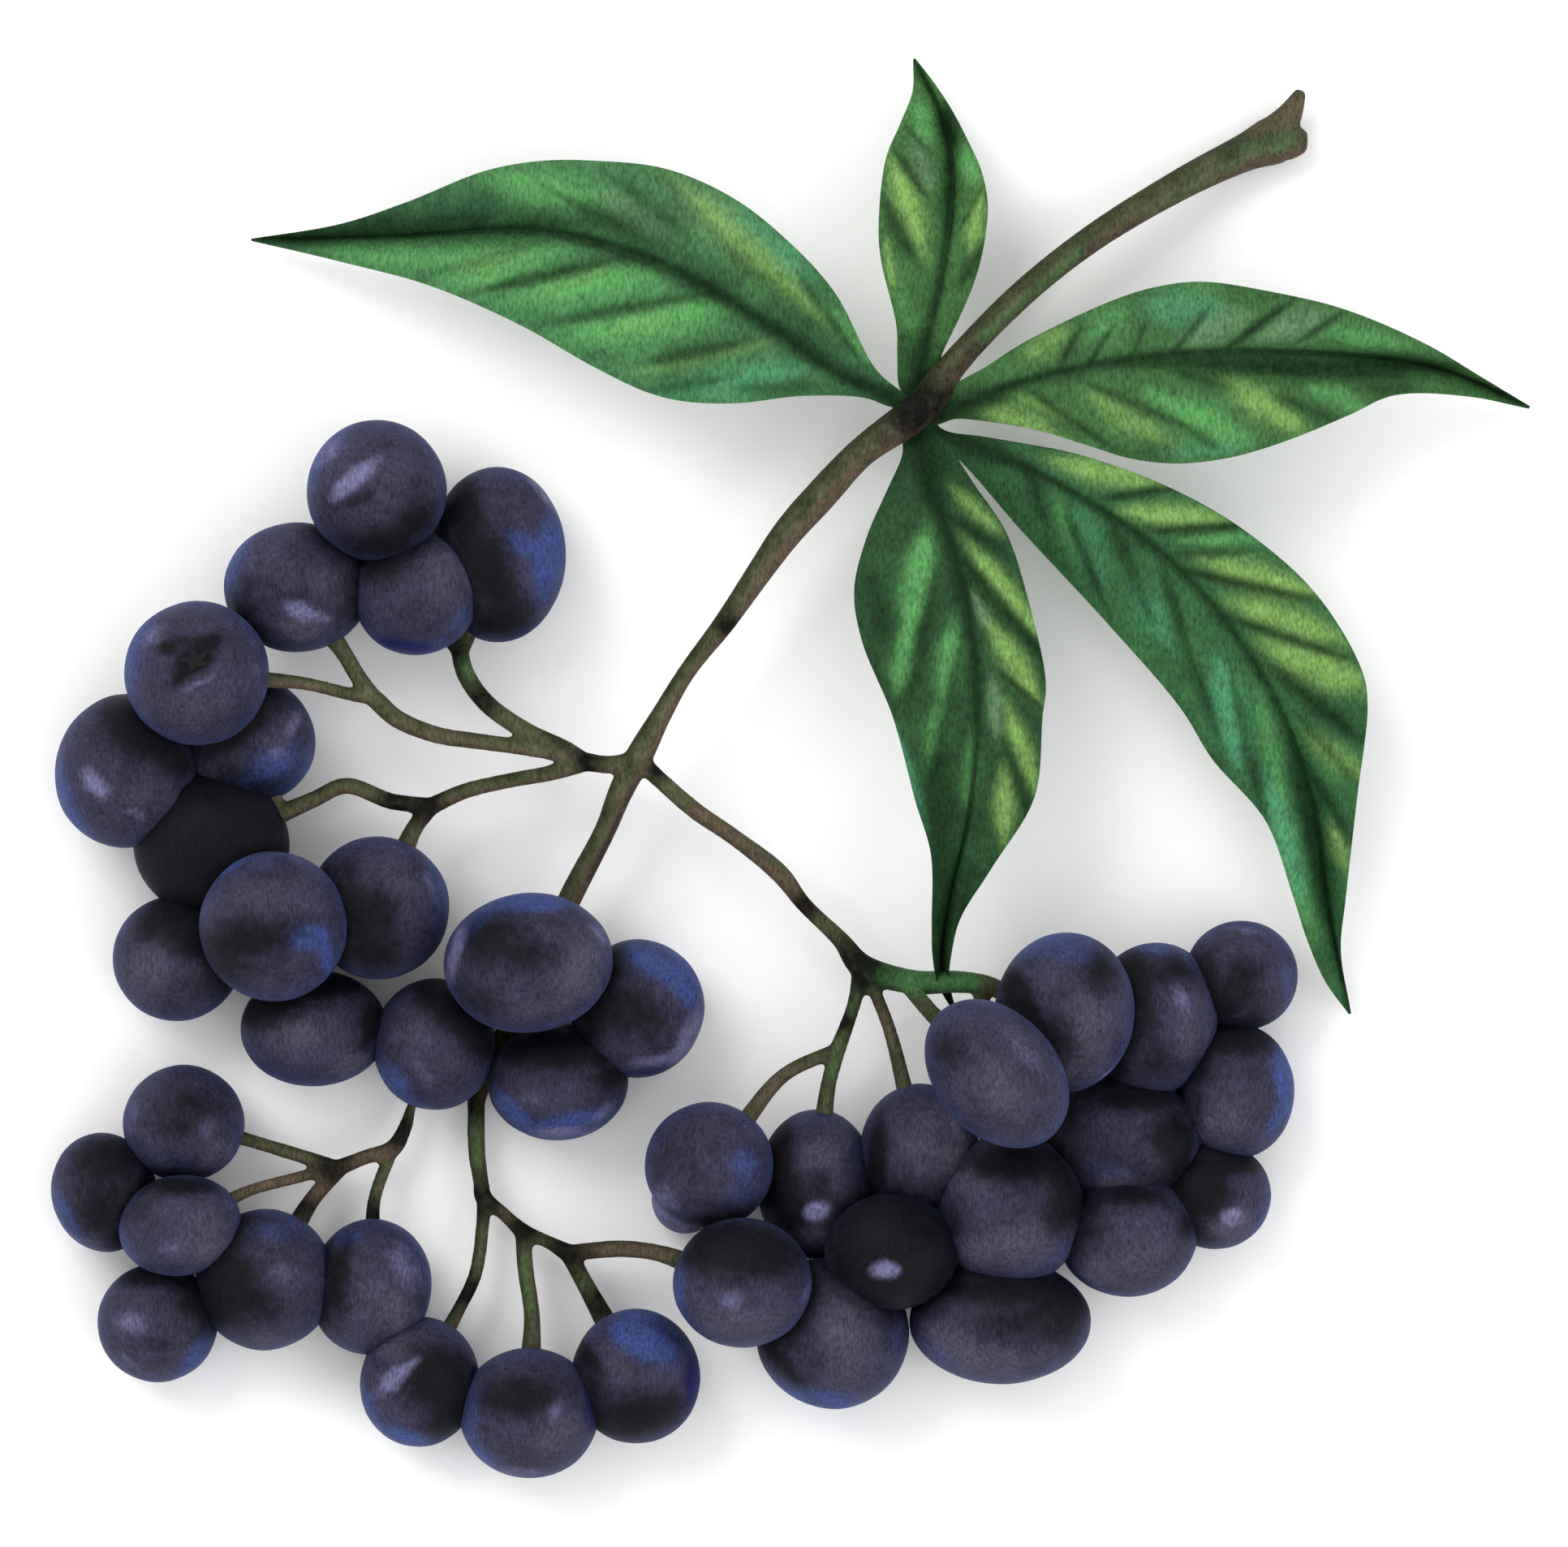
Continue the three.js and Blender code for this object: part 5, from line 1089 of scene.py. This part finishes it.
def calyx_material(grain):
    """Dry brown remains of the flower."""
    material, tree, shader = make_material("dry calyx", Specular_IOR_Level=0.2, Roughness=0.8)
    grained = use_group(tree, grain, {"Amount": 0.5, "Size": 0.12})
    colour = mix_colour(tree, grained["Height"], linear(12, 11, 14), linear(40, 36, 40))
    tree.links.new(colour, shader.inputs["Base Color"])
    add_bump(tree, shader, grained["Height"], 0.4, 0.00008)
    return material


def table_material():
    """Plain white table top with a very fine tooth."""
    material, tree, shader = make_material("white table", Roughness=0.9, Specular_IOR_Level=0.1)
    place = add_node(tree, "ShaderNodeTexCoord").outputs["Object"]
    tooth = noise(tree, place, 900.0)
    colour = mix_colour(tree, tooth, (0.94, 0.94, 0.94, 1), (0.97, 0.97, 0.97, 1))
    tree.links.new(colour, shader.inputs["Base Color"])
    return material


# Meshes


def add_object(name, data):
    """Object at the origin that holds the given data."""
    made = bpy.data.objects.new(name, data)
    bpy.context.scene.collection.objects.link(made)
    return made


def mesh_object(name, points, edges=(), faces=(), material=None):
    """Object at the origin from points in millimetres."""
    mesh = bpy.data.meshes.new(name)
    mesh.from_pydata([tuple(p) for p in np.asarray(points) * MM], edges, faces)
    mesh.update()
    if material:
        mesh.materials.append(material)
    return add_object(name, mesh)


def master_object(name, work):
    """Helper object from a finished bmesh."""
    mesh = bpy.data.meshes.new(name)
    work.to_mesh(mesh)
    work.free()
    return add_object(name, mesh)


def store(mesh, name, values, kind="FLOAT"):
    """Attribute on the points of a mesh."""
    layer = mesh.attributes.new(name, kind, "POINT")
    key = "value" if kind == "FLOAT" else "vector"
    layer.data.foreach_set(key, np.asarray(values, float).ravel())


def read(elements, key, width=3):
    """Values of all elements of a mesh, a row for each."""
    values = np.empty(len(elements) * width)
    elements.foreach_get(key, values)
    return values.reshape(-1, width)


def drop(thing):
    """Removes a helper object."""
    bpy.data.objects.remove(thing, do_unlink=True)


def run_tree(base, tree, inputs, name, more=()):
    """Result of a geometry node tree on an object, as a new plain mesh object. The tree's
    inputs are set by their identifiers. Further modifiers may follow it."""
    modifier = base.modifiers.new("shape", "NODES")
    modifier.node_group = tree
    for item in tree.interface.items_tree:
        if item.item_type == "SOCKET" and item.in_out == "INPUT" and item.name in inputs:
            modifier[item.identifier] = inputs[item.name]
    for kind, settings in more:
        extra = base.modifiers.new(kind.lower(), kind)
        for key, value in settings.items():
            setattr(extra, key, value)
    graph = bpy.context.evaluated_depsgraph_get()
    mesh = bpy.data.meshes.new_from_object(
        base.evaluated_get(graph), preserve_all_data_layers=True, depsgraph=graph
    )
    base.modifiers.clear()
    mesh.name = name
    drop(base)
    return add_object(name, mesh)


def geometry_tree(name, inputs):
    """Empty geometry node tree: the tree, its inputs and the output's input."""
    tree = bpy.data.node_groups.new(name, "GeometryNodeTree")
    tree.interface.new_socket("Geometry", in_out="INPUT", socket_type="NodeSocketGeometry")
    tree.interface.new_socket("Geometry", in_out="OUTPUT", socket_type="NodeSocketGeometry")
    for label, kind in inputs:
        tree.interface.new_socket(label, in_out="INPUT", socket_type=kind)
    entry = tree.nodes.new("NodeGroupInput")
    leave = tree.nodes.new("NodeGroupOutput")
    return tree, entry.outputs, leave.inputs[0]


def named(tree, name, kind="FLOAT_VECTOR"):
    """Output of a Named Attribute node."""
    made = add_node(tree, "GeometryNodeInputNamedAttribute", {"Name": name}, data_type=kind)
    return made.outputs[0]


def placed_copies(tree, points, thing, scale):
    """Copies of an object on points, each turned by its own facing."""
    info = add_node(tree, "GeometryNodeObjectInfo", {"Object": thing})
    turned = add_node(tree, "FunctionNodeEulerToRotation", {0: named(tree, "facing")})
    placed = add_node(
        tree, "GeometryNodeInstanceOnPoints",
        {"Points": points, "Instance": info.outputs["Geometry"],
         "Rotation": turned.outputs[0], "Scale": scale},
    )
    return placed.outputs[0]


def end_tree(tree, geometry, material, result):
    """Makes all copies real, gives them a material and ends the tree."""
    real = add_node(tree, "GeometryNodeRealizeInstances", {0: geometry})
    covered = add_node(
        tree, "GeometryNodeSetMaterial", {"Geometry": real.outputs[0], "Material": material}
    )
    tree.links.new(covered.outputs[0], result)


def spun(tree, vector, angle):
    """A vector turned about Z."""
    made = add_node(
        tree, "ShaderNodeVectorRotate", {"Vector": vector, "Angle": angle},
        rotation_type="Z_AXIS",
    )
    return made.outputs[0]


# Berries


def berry_master():
    """Unit berry: its stalk end is +Z with a small hollow, its blossom end is -Z with a
    shallow ring."""
    work = bmesh.new()
    bmesh.ops.create_uvsphere(
        work, u_segments=BERRY_SEGMENTS, v_segments=BERRY_RINGS, radius=1.0
    )
    for vertex in work.verts:
        flat = math.hypot(vertex.co.x, vertex.co.y)
        if vertex.co.z > 0:
            dent = 0.07 * hump(flat, 0.16)
        else:
            dent = 0.06 * hump(flat, 0.13) - 0.02 * hump(flat - 0.24, 0.07)
        vertex.co *= float(1 - dent)
    return master_object("berry_master", work)


def berry_tree():
    """Berries on points: each turned to its stalk, drawn out to its own size, a little
    uneven, and flat where it meets the table."""
    tree, given, result = geometry_tree(
        "berries on stalks",
        [("Berry", "NodeSocketObject"), ("Unevenness", "NodeSocketFloat"),
         ("Table", "NodeSocketFloat"), ("Skin", "NodeSocketMaterial")],
    )
    copies = placed_copies(tree, given["Geometry"], given["Berry"], (1.0, 1.0, 1.0))
    real = add_node(tree, "GeometryNodeRealizeInstances", {0: copies})
    here = add_node(tree, "GeometryNodeInputPosition").outputs[0]
    centre = named(tree, "centre")
    stored = add_node(
        tree, "GeometryNodeStoreNamedAttribute",
        {"Geometry": real.outputs[0], "Name": "around",
         "Value": vector_maths(tree, "SUBTRACT", here, centre)},
        data_type="FLOAT_VECTOR", domain="POINT",
    )
    around = named(tree, "around")
    turn = named(tree, "turn", "FLOAT")
    straight = spun(tree, around, maths(tree, "MULTIPLY", turn, -1.0))
    drawn = spun(tree, vector_maths(tree, "MULTIPLY", straight, named(tree, "size")), turn)
    apart = vector_maths(tree, "MULTIPLY", centre, (BERRY_APART,) * 3)
    cloud = noise(tree, vector_maths(tree, "ADD", around, apart), 1.1, 1.0)
    bulge = maths(tree, "SUBTRACT", cloud, 0.5)
    swell = maths(tree, "MULTIPLY_ADD", bulge, given["Unevenness"], 1.0)
    scaled = add_node(tree, "ShaderNodeVectorMath", {0: drawn, "Scale": swell}, operation="SCALE")
    moved = vector_maths(tree, "ADD", centre, scaled.outputs[0])
    parts = add_node(tree, "ShaderNodeSeparateXYZ", {0: moved}).outputs
    raised = maths(tree, "MAXIMUM", parts["Z"], given["Table"])
    place = add_node(tree, "ShaderNodeCombineXYZ", {"X": parts["X"], "Y": parts["Y"], "Z": raised})
    shaped = add_node(
        tree, "GeometryNodeSetPosition",
        {"Geometry": stored.outputs[0], "Position": place.outputs[0]},
    )
    smooth = add_node(tree, "GeometryNodeSetShadeSmooth", {"Geometry": shaped.outputs[0]})
    end_tree(tree, smooth.outputs[0], given["Skin"], result)
    return tree


def facing_of(direction):
    """Rotation that turns +Z to a direction."""
    return Vector(direction).to_track_quat("Z", "Y").to_euler()


def berry_points(name, berries):
    """Mesh of bare points, one for each berry, that carries what the tree needs."""
    base = mesh_object(name, [berry["centre"] for berry in berries])
    facings = [facing_of(-blossom_way(berry)) for berry in berries]
    store(base.data, "facing", facings, "FLOAT_VECTOR")
    store(base.data, "centre", [berry["centre"] * MM for berry in berries], "FLOAT_VECTOR")
    store(base.data, "size", [berry["half"] * MM for berry in berries], "FLOAT_VECTOR")
    for key in ("turn", "number"):
        store(base.data, key, [berry[key] for berry in berries])
    return base


def blossom_way(berry):
    """Direction of a berry's blossom end: away from its stalk and downwards. One berry
    shows it on top."""
    if berry["number"] == UPTURNED_BERRY:
        return np.array(UPTURNED_WAY)
    way = -berry["stalk_side"]
    way[2] = min(way[2], BLOSSOM_DROP)
    return way / np.linalg.norm(way)


def plan_marks(places, marks):
    """How strongly each place on the sheet is covered by oval marks, from 0 to 1."""
    clear = np.ones(len(places))
    for u, v, half_length, half_width, direction, strength in marks:
        away = places[:, :2] - on_table(u, v, 0)[:2]
        angle = math.radians(direction)
        along = away @ np.array([math.cos(angle), math.sin(angle)])
        across = away @ np.array([-math.sin(angle), math.cos(angle)])
        spread = (along / half_length) ** 2 + (across / half_width) ** 2
        clear *= 1 - np.clip(strength * np.exp(-0.6 * spread), 0, 1)
    return 1 - clear


def side_tint(around, direction, strength, low):
    """Tint that grows from a low share of the radius towards one side of a berry."""
    angle = math.radians(direction)
    toward = around[:, 0] * math.cos(angle) + around[:, 1] * math.sin(angle)
    return strength * soft_step(toward, low, 1)


def painted_contact_shade(places, around, berry, berries):
    """How much painted shade darkens a berry near the berries that touch or cover it."""
    painted_shade = np.zeros(len(places))
    for other in berries:
        if other is berry:
            continue
        away = places - other["centre"]
        rise = other["centre"][2] - berry["centre"][2]
        gap = (np.linalg.norm(away / other["half"], axis=1) - 1) * other["half"].mean()
        touch_shade = np.clip(LEVEL_CONTACT_SHADE + rise / RISE_PER_CONTACT_SHADE, LEAST_CONTACT_SHADE, 1)
        painted_shade = np.maximum(painted_shade, touch_shade * ramp(gap, CONTACT_REACH, 0) ** CONTACT_SHADE_FADE)
        if rise > 0:
            plan_gap = np.hypot(away[:, 0], away[:, 1]) - radius_toward(other, away)
            covered = SHADE * ramp(plan_gap, SHADE_REACH, 0) ** CONTACT_SHADE_FADE
            painted_shade = np.maximum(painted_shade, covered * ramp(around[:, 2], *SHADE_UPPER))
    return painted_shade


def tint_berries(mesh, berries):
    """Stores how dark, blue, deep blue, light and pale each place of the skin is: painted shade, the
    bloom's blue with painted rim light, deep-blue strokes and painted highlights.
    """
    places = read(mesh.vertices, "co") / MM
    around = read(mesh.attributes["around"].data, "vector")
    numbers = np.round(read(mesh.attributes["number"].data, "value", 1)[:, 0])
    tints = {kind: np.zeros(len(places)) for kind in ("dark", "blue", "deep", "light", "pale")}
    for berry in berries:
        own = numbers == berry["number"]
        if not own.any():
            continue
        here, way = places[own], around[own]
        upper = ramp(way[:, 2], *MARK_UPPER)
        steep = np.abs(way[:, 2])
        mine = {
            kind: plan_marks(here, MARKS[berry["number"]].get(kind, [])) * upper
            for kind in tints
        }
        dark_side, dark, blue_side, blue = SKINS[berry["number"]]
        # Painted shade on the berry's dark side.
        shaded = side_tint(way, dark_side, dark * SIDE_DARK, DARK_FROM)
        # Painted contact shade, less where light and pale marks lie.
        painted_shade = painted_contact_shade(here, way, berry, berries) * CONTACT_SHADE
        painted_shade *= 1 - MARK_KEPT * np.maximum(mine["light"], mine["pale"])
        mine["dark"] = np.maximum.reduce([mine["dark"], shaded, painted_shade])
        # Blue of the bloom towards the blue side, and painted rim light where the skin is steep.
        side = side_tint(way, blue_side, blue, BLUE_FROM) * np.clip(1.25 - steep, 0.3, 1)
        edge = np.clip(EDGE_STEEP - steep, 0, EDGE_MOST) * ramp(way[:, 2], *EDGE_UPPER)
        mine["blue"] = np.maximum.reduce([mine["blue"], side, edge * EDGE_BLUE])
        for kind, values in tints.items():
            values[own] = mine[kind]
    for kind, values in tints.items():
        store(mesh, kind, values)


def make_berries(berries, skin):
    """One piece for each bunch."""
    tree = berry_tree()
    master = berry_master()
    inputs = {
        "Berry": master, "Unevenness": BERRY_UNEVEN, "Table": BERRY_LIFT * MM, "Skin": skin,
    }
    made = []
    for bunch in BUNCHES:
        own = [berry for berry in berries if berry["bunch"] == bunch]
        base = berry_points(f"{bunch}_points", own)
        piece = run_tree(base, tree, inputs, bunch.replace("berries", "skins"))
        tint_berries(piece.data, berries)
        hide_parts(bunch)
        made.append(piece)
    drop(master)
    return made


# Stem


def line_tree():
    """Round stems along lines, with each point's own radius."""
    tree, given, result = geometry_tree(
        "stems along lines",
        [("Sides", "NodeSocketInt"), ("Bark", "NodeSocketMaterial")],
    )
    curve = add_node(tree, "GeometryNodeMeshToCurve", {"Mesh": given["Geometry"]})
    thickness = named(tree, "thickness", "FLOAT")
    sized = add_node(
        tree, "GeometryNodeSetCurveRadius", {"Curve": curve.outputs[0], "Radius": thickness}
    )
    ring = add_node(
        tree, "GeometryNodeCurvePrimitiveCircle", {"Resolution": given["Sides"], "Radius": 1.0}
    )
    tubes = add_node(
        tree, "GeometryNodeCurveToMesh",
        {"Curve": sized.outputs[0], "Profile Curve": ring.outputs[0], "Fill Caps": True},
    )
    if "Scale" in tubes.inputs:
        tree.links.new(thickness, tubes.inputs["Scale"])
    end_tree(tree, tubes.outputs[0], given["Bark"], result)
    return tree


def stem_lines(berries):
    """Mesh of bare lines for all rays and stalks, with a thickness on each point."""
    routes = [[[*on_table(u, v, height), radius] for u, v, height, radius in ray] for ray in RAYS]
    routes += [stalk_path(row, berries) for row in STALKS]
    paths = [smooth_path(route, STEM_STEPS) for route in routes]
    edges = []
    first = 0
    for path in paths:
        edges += [(first + i, first + i + 1) for i in range(len(path) - 1)]
        first += len(path)
    joined = np.vstack(paths)
    base = mesh_object("stem_lines", joined[:, :3], edges)
    store(base.data, "thickness", joined[:, 3] * MM)
    return base


def mark_bark(mesh):
    """Stores the knots, the painted tints and the sides of the bark."""
    places = read(mesh.vertices, "co") / MM
    knot = np.zeros(len(places))
    for u, v, radius in KNOTS:
        away = np.linalg.norm(places[:, :2] - on_table(u, v, 0)[:2], axis=1)
        knot = np.maximum(knot, ramp(away / radius, KNOT_REACH, KNOT_REACH - 1))
    store(mesh, "knot", knot)
    for kind, lines in BARK_TINTS.items():
        tint = np.zeros(len(places))
        for *ends, half_width, strength in lines:
            away = near_line(places, ends, 0, 1)[1]
            cover = ramp(away / half_width, TINT_REACH, TINT_REACH - 1)
            tint = np.maximum(tint, strength * cover)
        store(mesh, kind, tint)
    shaded = read(mesh.vertices, "normal") @ np.array(SHADOW_WAY)
    store(mesh, "shadow_side", ramp(shaded, -0.5, 0.5))
    store(mesh, "left_side", ramp(-shaded, 0.3 / 1.3, 1))
    store(mesh, "thin", 0.2 + 0.6 * ramp(places[:, 1], *THIN_FROM))


def make_stem(berries, bark):
    """The grown-together stem: lines drawn round, joined and smoothed at the forks."""
    rounding = [
        ("REMESH", {"mode": "VOXEL", "voxel_size": STEM_VOXEL * MM, "use_smooth_shade": True}),
        ("SMOOTH", {"factor": 0.5, "iterations": 4}),
    ]
    piece = run_tree(
        stem_lines(berries), line_tree(), {"Sides": STEM_SIDES, "Bark": bark},
        "stem_bark", rounding,
    )
    mesh = piece.data
    if not mesh.materials:
        mesh.materials.append(bark)
    places = read(mesh.vertices, "co")
    places[:, 2] = np.maximum(places[:, 2], STEM_LIFT * MM)
    mesh.vertices.foreach_set("co", places.ravel())
    mesh.update()
    mark_bark(mesh)
    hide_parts("stem")
    return piece


# Calyx remains


def calyx_master():
    """Unit crown of five short curled lobes round a low ring."""
    lobes = 5
    steps = lobes * 6
    work = bmesh.new()
    middle = work.verts.new((0, 0, -0.05))
    rings = []
    for radius, height in ((0.5, 0.02), (0.8, 0.16), (1.0, 0.2), (0.92, 0.02)):
        ring = []
        for k in range(steps):
            angle = 2 * math.pi * k / steps
            lobe = 0.5 + 0.5 * math.cos(lobes * angle)
            reach = radius * (0.62 + 0.5 * lobe if radius > 0.6 else 1.0)
            place = (reach * math.cos(angle), reach * math.sin(angle), height * (0.4 + lobe))
            ring.append(work.verts.new(place))
        rings.append(ring)
    foot = work.verts.new((0, 0, -0.3))
    for k in range(steps):
        after = (k + 1) % steps
        work.faces.new((middle, rings[0][k], rings[0][after]))
        work.faces.new((foot, rings[-1][after], rings[-1][k]))
        for low, high in zip(rings, rings[1:]):
            work.faces.new((low[k], high[k], high[after], low[after]))
    bmesh.ops.recalc_face_normals(work, faces=work.faces)
    return master_object("calyx_master", work)


def calyx_tree():
    """Crowns on points, each with its own turn and size."""
    tree, given, result = geometry_tree(
        "crowns on berries", [("Crown", "NodeSocketObject"), ("Dry", "NodeSocketMaterial")]
    )
    copies = placed_copies(tree, given["Geometry"], given["Crown"], named(tree, "size"))
    end_tree(tree, copies, given["Dry"], result)
    return tree


def make_calyxes(berries, dry):
    """The remains of each flower, on the blossom end of its berry."""
    places, facings, sizes = [], [], []
    for berry in berries:
        way = blossom_way(berry)
        reach = 1 / np.linalg.norm(way / berry["half"])
        size = UPTURNED_CALYX if berry["number"] == UPTURNED_BERRY else CALYX
        places.append(berry["centre"] + way * (reach - CALYX_SINK))
        facings.append(facing_of(way))
        sizes.append(np.array(CALYX_SHAPE) * size * MM)
    base = mesh_object("calyx_points", places)
    store(base.data, "facing", facings, "FLOAT_VECTOR")
    store(base.data, "size", sizes, "FLOAT_VECTOR")
    master = calyx_master()
    piece = run_tree(base, calyx_tree(), {"Crown": master, "Dry": dry}, "calyx_remains")
    drop(master)
    return piece


# Leaves


def stroke_cover(places, strokes, spread):
    """How strongly each place on the sheet is covered by tapered strokes, from 0 to 1."""
    clear = np.ones(len(places))
    for *ends, half_width, strength in strokes:
        share, away = near_line(places, ends, -0.4, 1.4)
        width = half_width * spread * (0.6 + 0.5 * np.sin(math.pi * np.clip(share, 0, 1)))
        fade = soft_step(share, -0.3, 0.22) * soft_step(share, 1.3, 0.78)
        cover = np.exp(-0.8 * (away / width) ** 2)
        clear *= 1 - np.clip(strength * cover * fade, 0, 1)
    return 1 - clear


def blade_tints(node, places):
    """Cover of each kind of stroke on a blade."""
    return {
        kind: stroke_cover(places, STROKES[node].get(kind, []), spread)
        for kind, spread in STROKE_SPREADS.items()
    }


def blade_point_rows(node, leaf):
    """Upper and lower points of a blade with their own coordinates, row by row."""
    half = np.sin(np.linspace(0, math.pi / 2, LEAF_HALF_COLUMNS + 1))
    columns = np.concatenate([-half[::-1], half[1:]])
    shares = np.linspace(0, 1, LEAF_ROWS + 1)
    sheet = {
        key: smooth_path([on_table(u, v, 0) for u, v in leaf[key]])
        for key in ("midrib", "left", "right")
    }
    rib = even_points(sheet["midrib"], shares)
    swept = shares + VEIN_SWEEP * shares * (1 - shares)
    left, right = [even_points(sheet[key], swept)[:, None, :] for key in ("left", "right")]
    s, t = np.meshgrid(shares, columns, indexing="ij")
    side = np.abs(t)
    margin = np.where((t < 0)[..., None], left, right)
    top = rib[:, None, :] * (1 - side[..., None]) + margin * side[..., None]
    tints = blade_tints(node, top.reshape(-1, 3))
    bands = np.maximum.reduce([tints["leafy"], tints["teal"], tints["grey"], tints["lime"]])
    puff = VEIN_PUFF * (bands - tints["dark"]).reshape(s.shape)
    open_share = np.sin(math.pi * np.minimum(1, s * 1.02))
    fold = LEAF_CREST * side - LEAF_DROOP * side ** 2
    wave = LEAF_WAVE * side ** 2 * np.sin(2 * math.pi * leaf["waves"] * s + t)
    groove = -GROOVE_DEPTH * hump(side, GROOVE_WIDTH)
    top[..., 2] = even_heights(leaf["heights"], s) + open_share * (fold + puff + wave + groove)
    thickness = LEAF_EDGE + (LEAF_THICKNESS - LEAF_EDGE) * (1 - side ** 2)
    bottom = top.copy()
    bottom[..., 2] -= thickness + LEAF_RIB * (1 - s) * hump(side, RIB_WIDTH)
    across = np.linalg.norm(top[..., :2] - rib[:, None, :2], axis=-1)
    tints["midrib"] = midrib_cover(s, across).ravel()
    return top, bottom, s, tints


def midrib_cover(s, across):
    """Dark band along the midrib: broad at the base, narrow at mid-length, and taking in
    the tip."""
    width = MIDRIB_WIDTH + BASE_WIDENING * (1 - s) ** 12 + TIP_WIDENING * s ** 8
    strength = 0.75 + 0.25 * (1 - s)
    return strength * np.exp(-0.8 * (across / width) ** 2)


def blade_faces(rows, columns):
    """Faces of a closed blade: upper side, lower side, both margins and both ends."""
    under = rows * columns
    faces = []
    for i in range(rows - 1):
        for j in range(columns - 1):
            a = i * columns + j
            b, c, d = a + 1, a + columns + 1, a + columns
            faces.append((a, b, c, d))
            faces.append((under + a, under + d, under + c, under + b))
        first, last = i * columns, (i + 1) * columns - 1
        faces.append((first + columns, under + first + columns, under + first, first))
        faces.append((last, under + last, under + last + columns, last + columns))
    for j in range(columns - 1):
        end = (rows - 1) * columns + j
        faces.append((j, under + j, under + j + 1, j + 1))
        faces.append((end + 1, under + end + 1, under + end, end))
    return faces


def make_leaf(node, leaf, material):
    """One blade, which replaces its solid."""
    top, bottom, s, tints = blade_point_rows(node, leaf)
    points = np.vstack([top.reshape(-1, 3), bottom.reshape(-1, 3)])
    faces = blade_faces(*s.shape)
    piece = mesh_object(node.replace("leaf", "blade"), points, (), faces, material)
    mesh = piece.data
    mesh.polygons.foreach_set("use_smooth", [True] * len(mesh.polygons))
    for name, values in tints.items():
        store(mesh, name, np.tile(values, 2))
    store(mesh, "back", np.repeat([0.0, 1.0], s.size))
    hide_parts(node)
    return piece


# Stage


def make_table():
    """Wide white table top at height 0."""
    corners = [(TABLE_HALF * x, TABLE_HALF * y, 0) for x, y in ((-1, -1), (1, -1), (1, 1), (-1, 1))]
    table = mesh_object("table_top", corners, (), [(0, 1, 2, 3)], table_material())


def make_light(name, place, size, power, colour):
    """Square area light that looks at the cluster."""
    data = bpy.data.lights.new(name, "AREA")
    data.size = size
    data.energy = power
    data.color = colour
    light = add_object(name, data)
    light.location = place
    light.rotation_euler = (-Vector(place)).to_track_quat("-Z", "Y").to_euler()


def make_stage():
    """Table, soft studio light from the upper left, white surroundings and the camera."""
    make_table()
    make_light("key_light", (-0.75, 0.8, 1.1), size=0.8, power=9.5, colour=(1.0, 0.99, 0.97))
    make_light("fill_light", (0.9, -0.5, 0.9), size=0.9, power=4.5, colour=(0.93, 0.96, 1.0))
    world = bpy.data.worlds.new("studio")
    world.use_nodes = True
    background = world.node_tree.nodes["Background"]
    background.inputs["Color"].default_value = (1, 1, 1, 1)
    background.inputs["Strength"].default_value = WORLD_STRENGTH
    scene = bpy.context.scene
    scene.world = world
    scene.view_settings.view_transform = "Standard"
    data = bpy.data.cameras.new("camera")
    data.lens = LENS
    data.sensor_width = SENSOR
    data.clip_start, data.clip_end = CLIP
    camera = add_object("camera", data)
    camera.location = on_table(VIEW_U, VIEW_V, VIEW_WIDTH * LENS / SENSOR) * MM
    scene.camera = camera


def main():
    """Builds all pieces, gives each its body, and sets the stage."""
    grain = paper_grain_group()
    wash = wash_group()
    berries = place_berries()
    stem = make_stem(berries, bark_material(grain, wash))
    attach(stem, "root")
    for piece in make_berries(berries, berry_material(grain, wash)):
        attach(piece, "root")
    calyxes = make_calyxes(berries, calyx_material(grain))
    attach(calyxes, "root")
    for node, leaf in LEAVES.items():
        blade = leaf_material(f"{node} blade", leaf["ground"], grain, wash)
        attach(make_leaf(node, leaf, blade), "root")
    make_stage()


main()
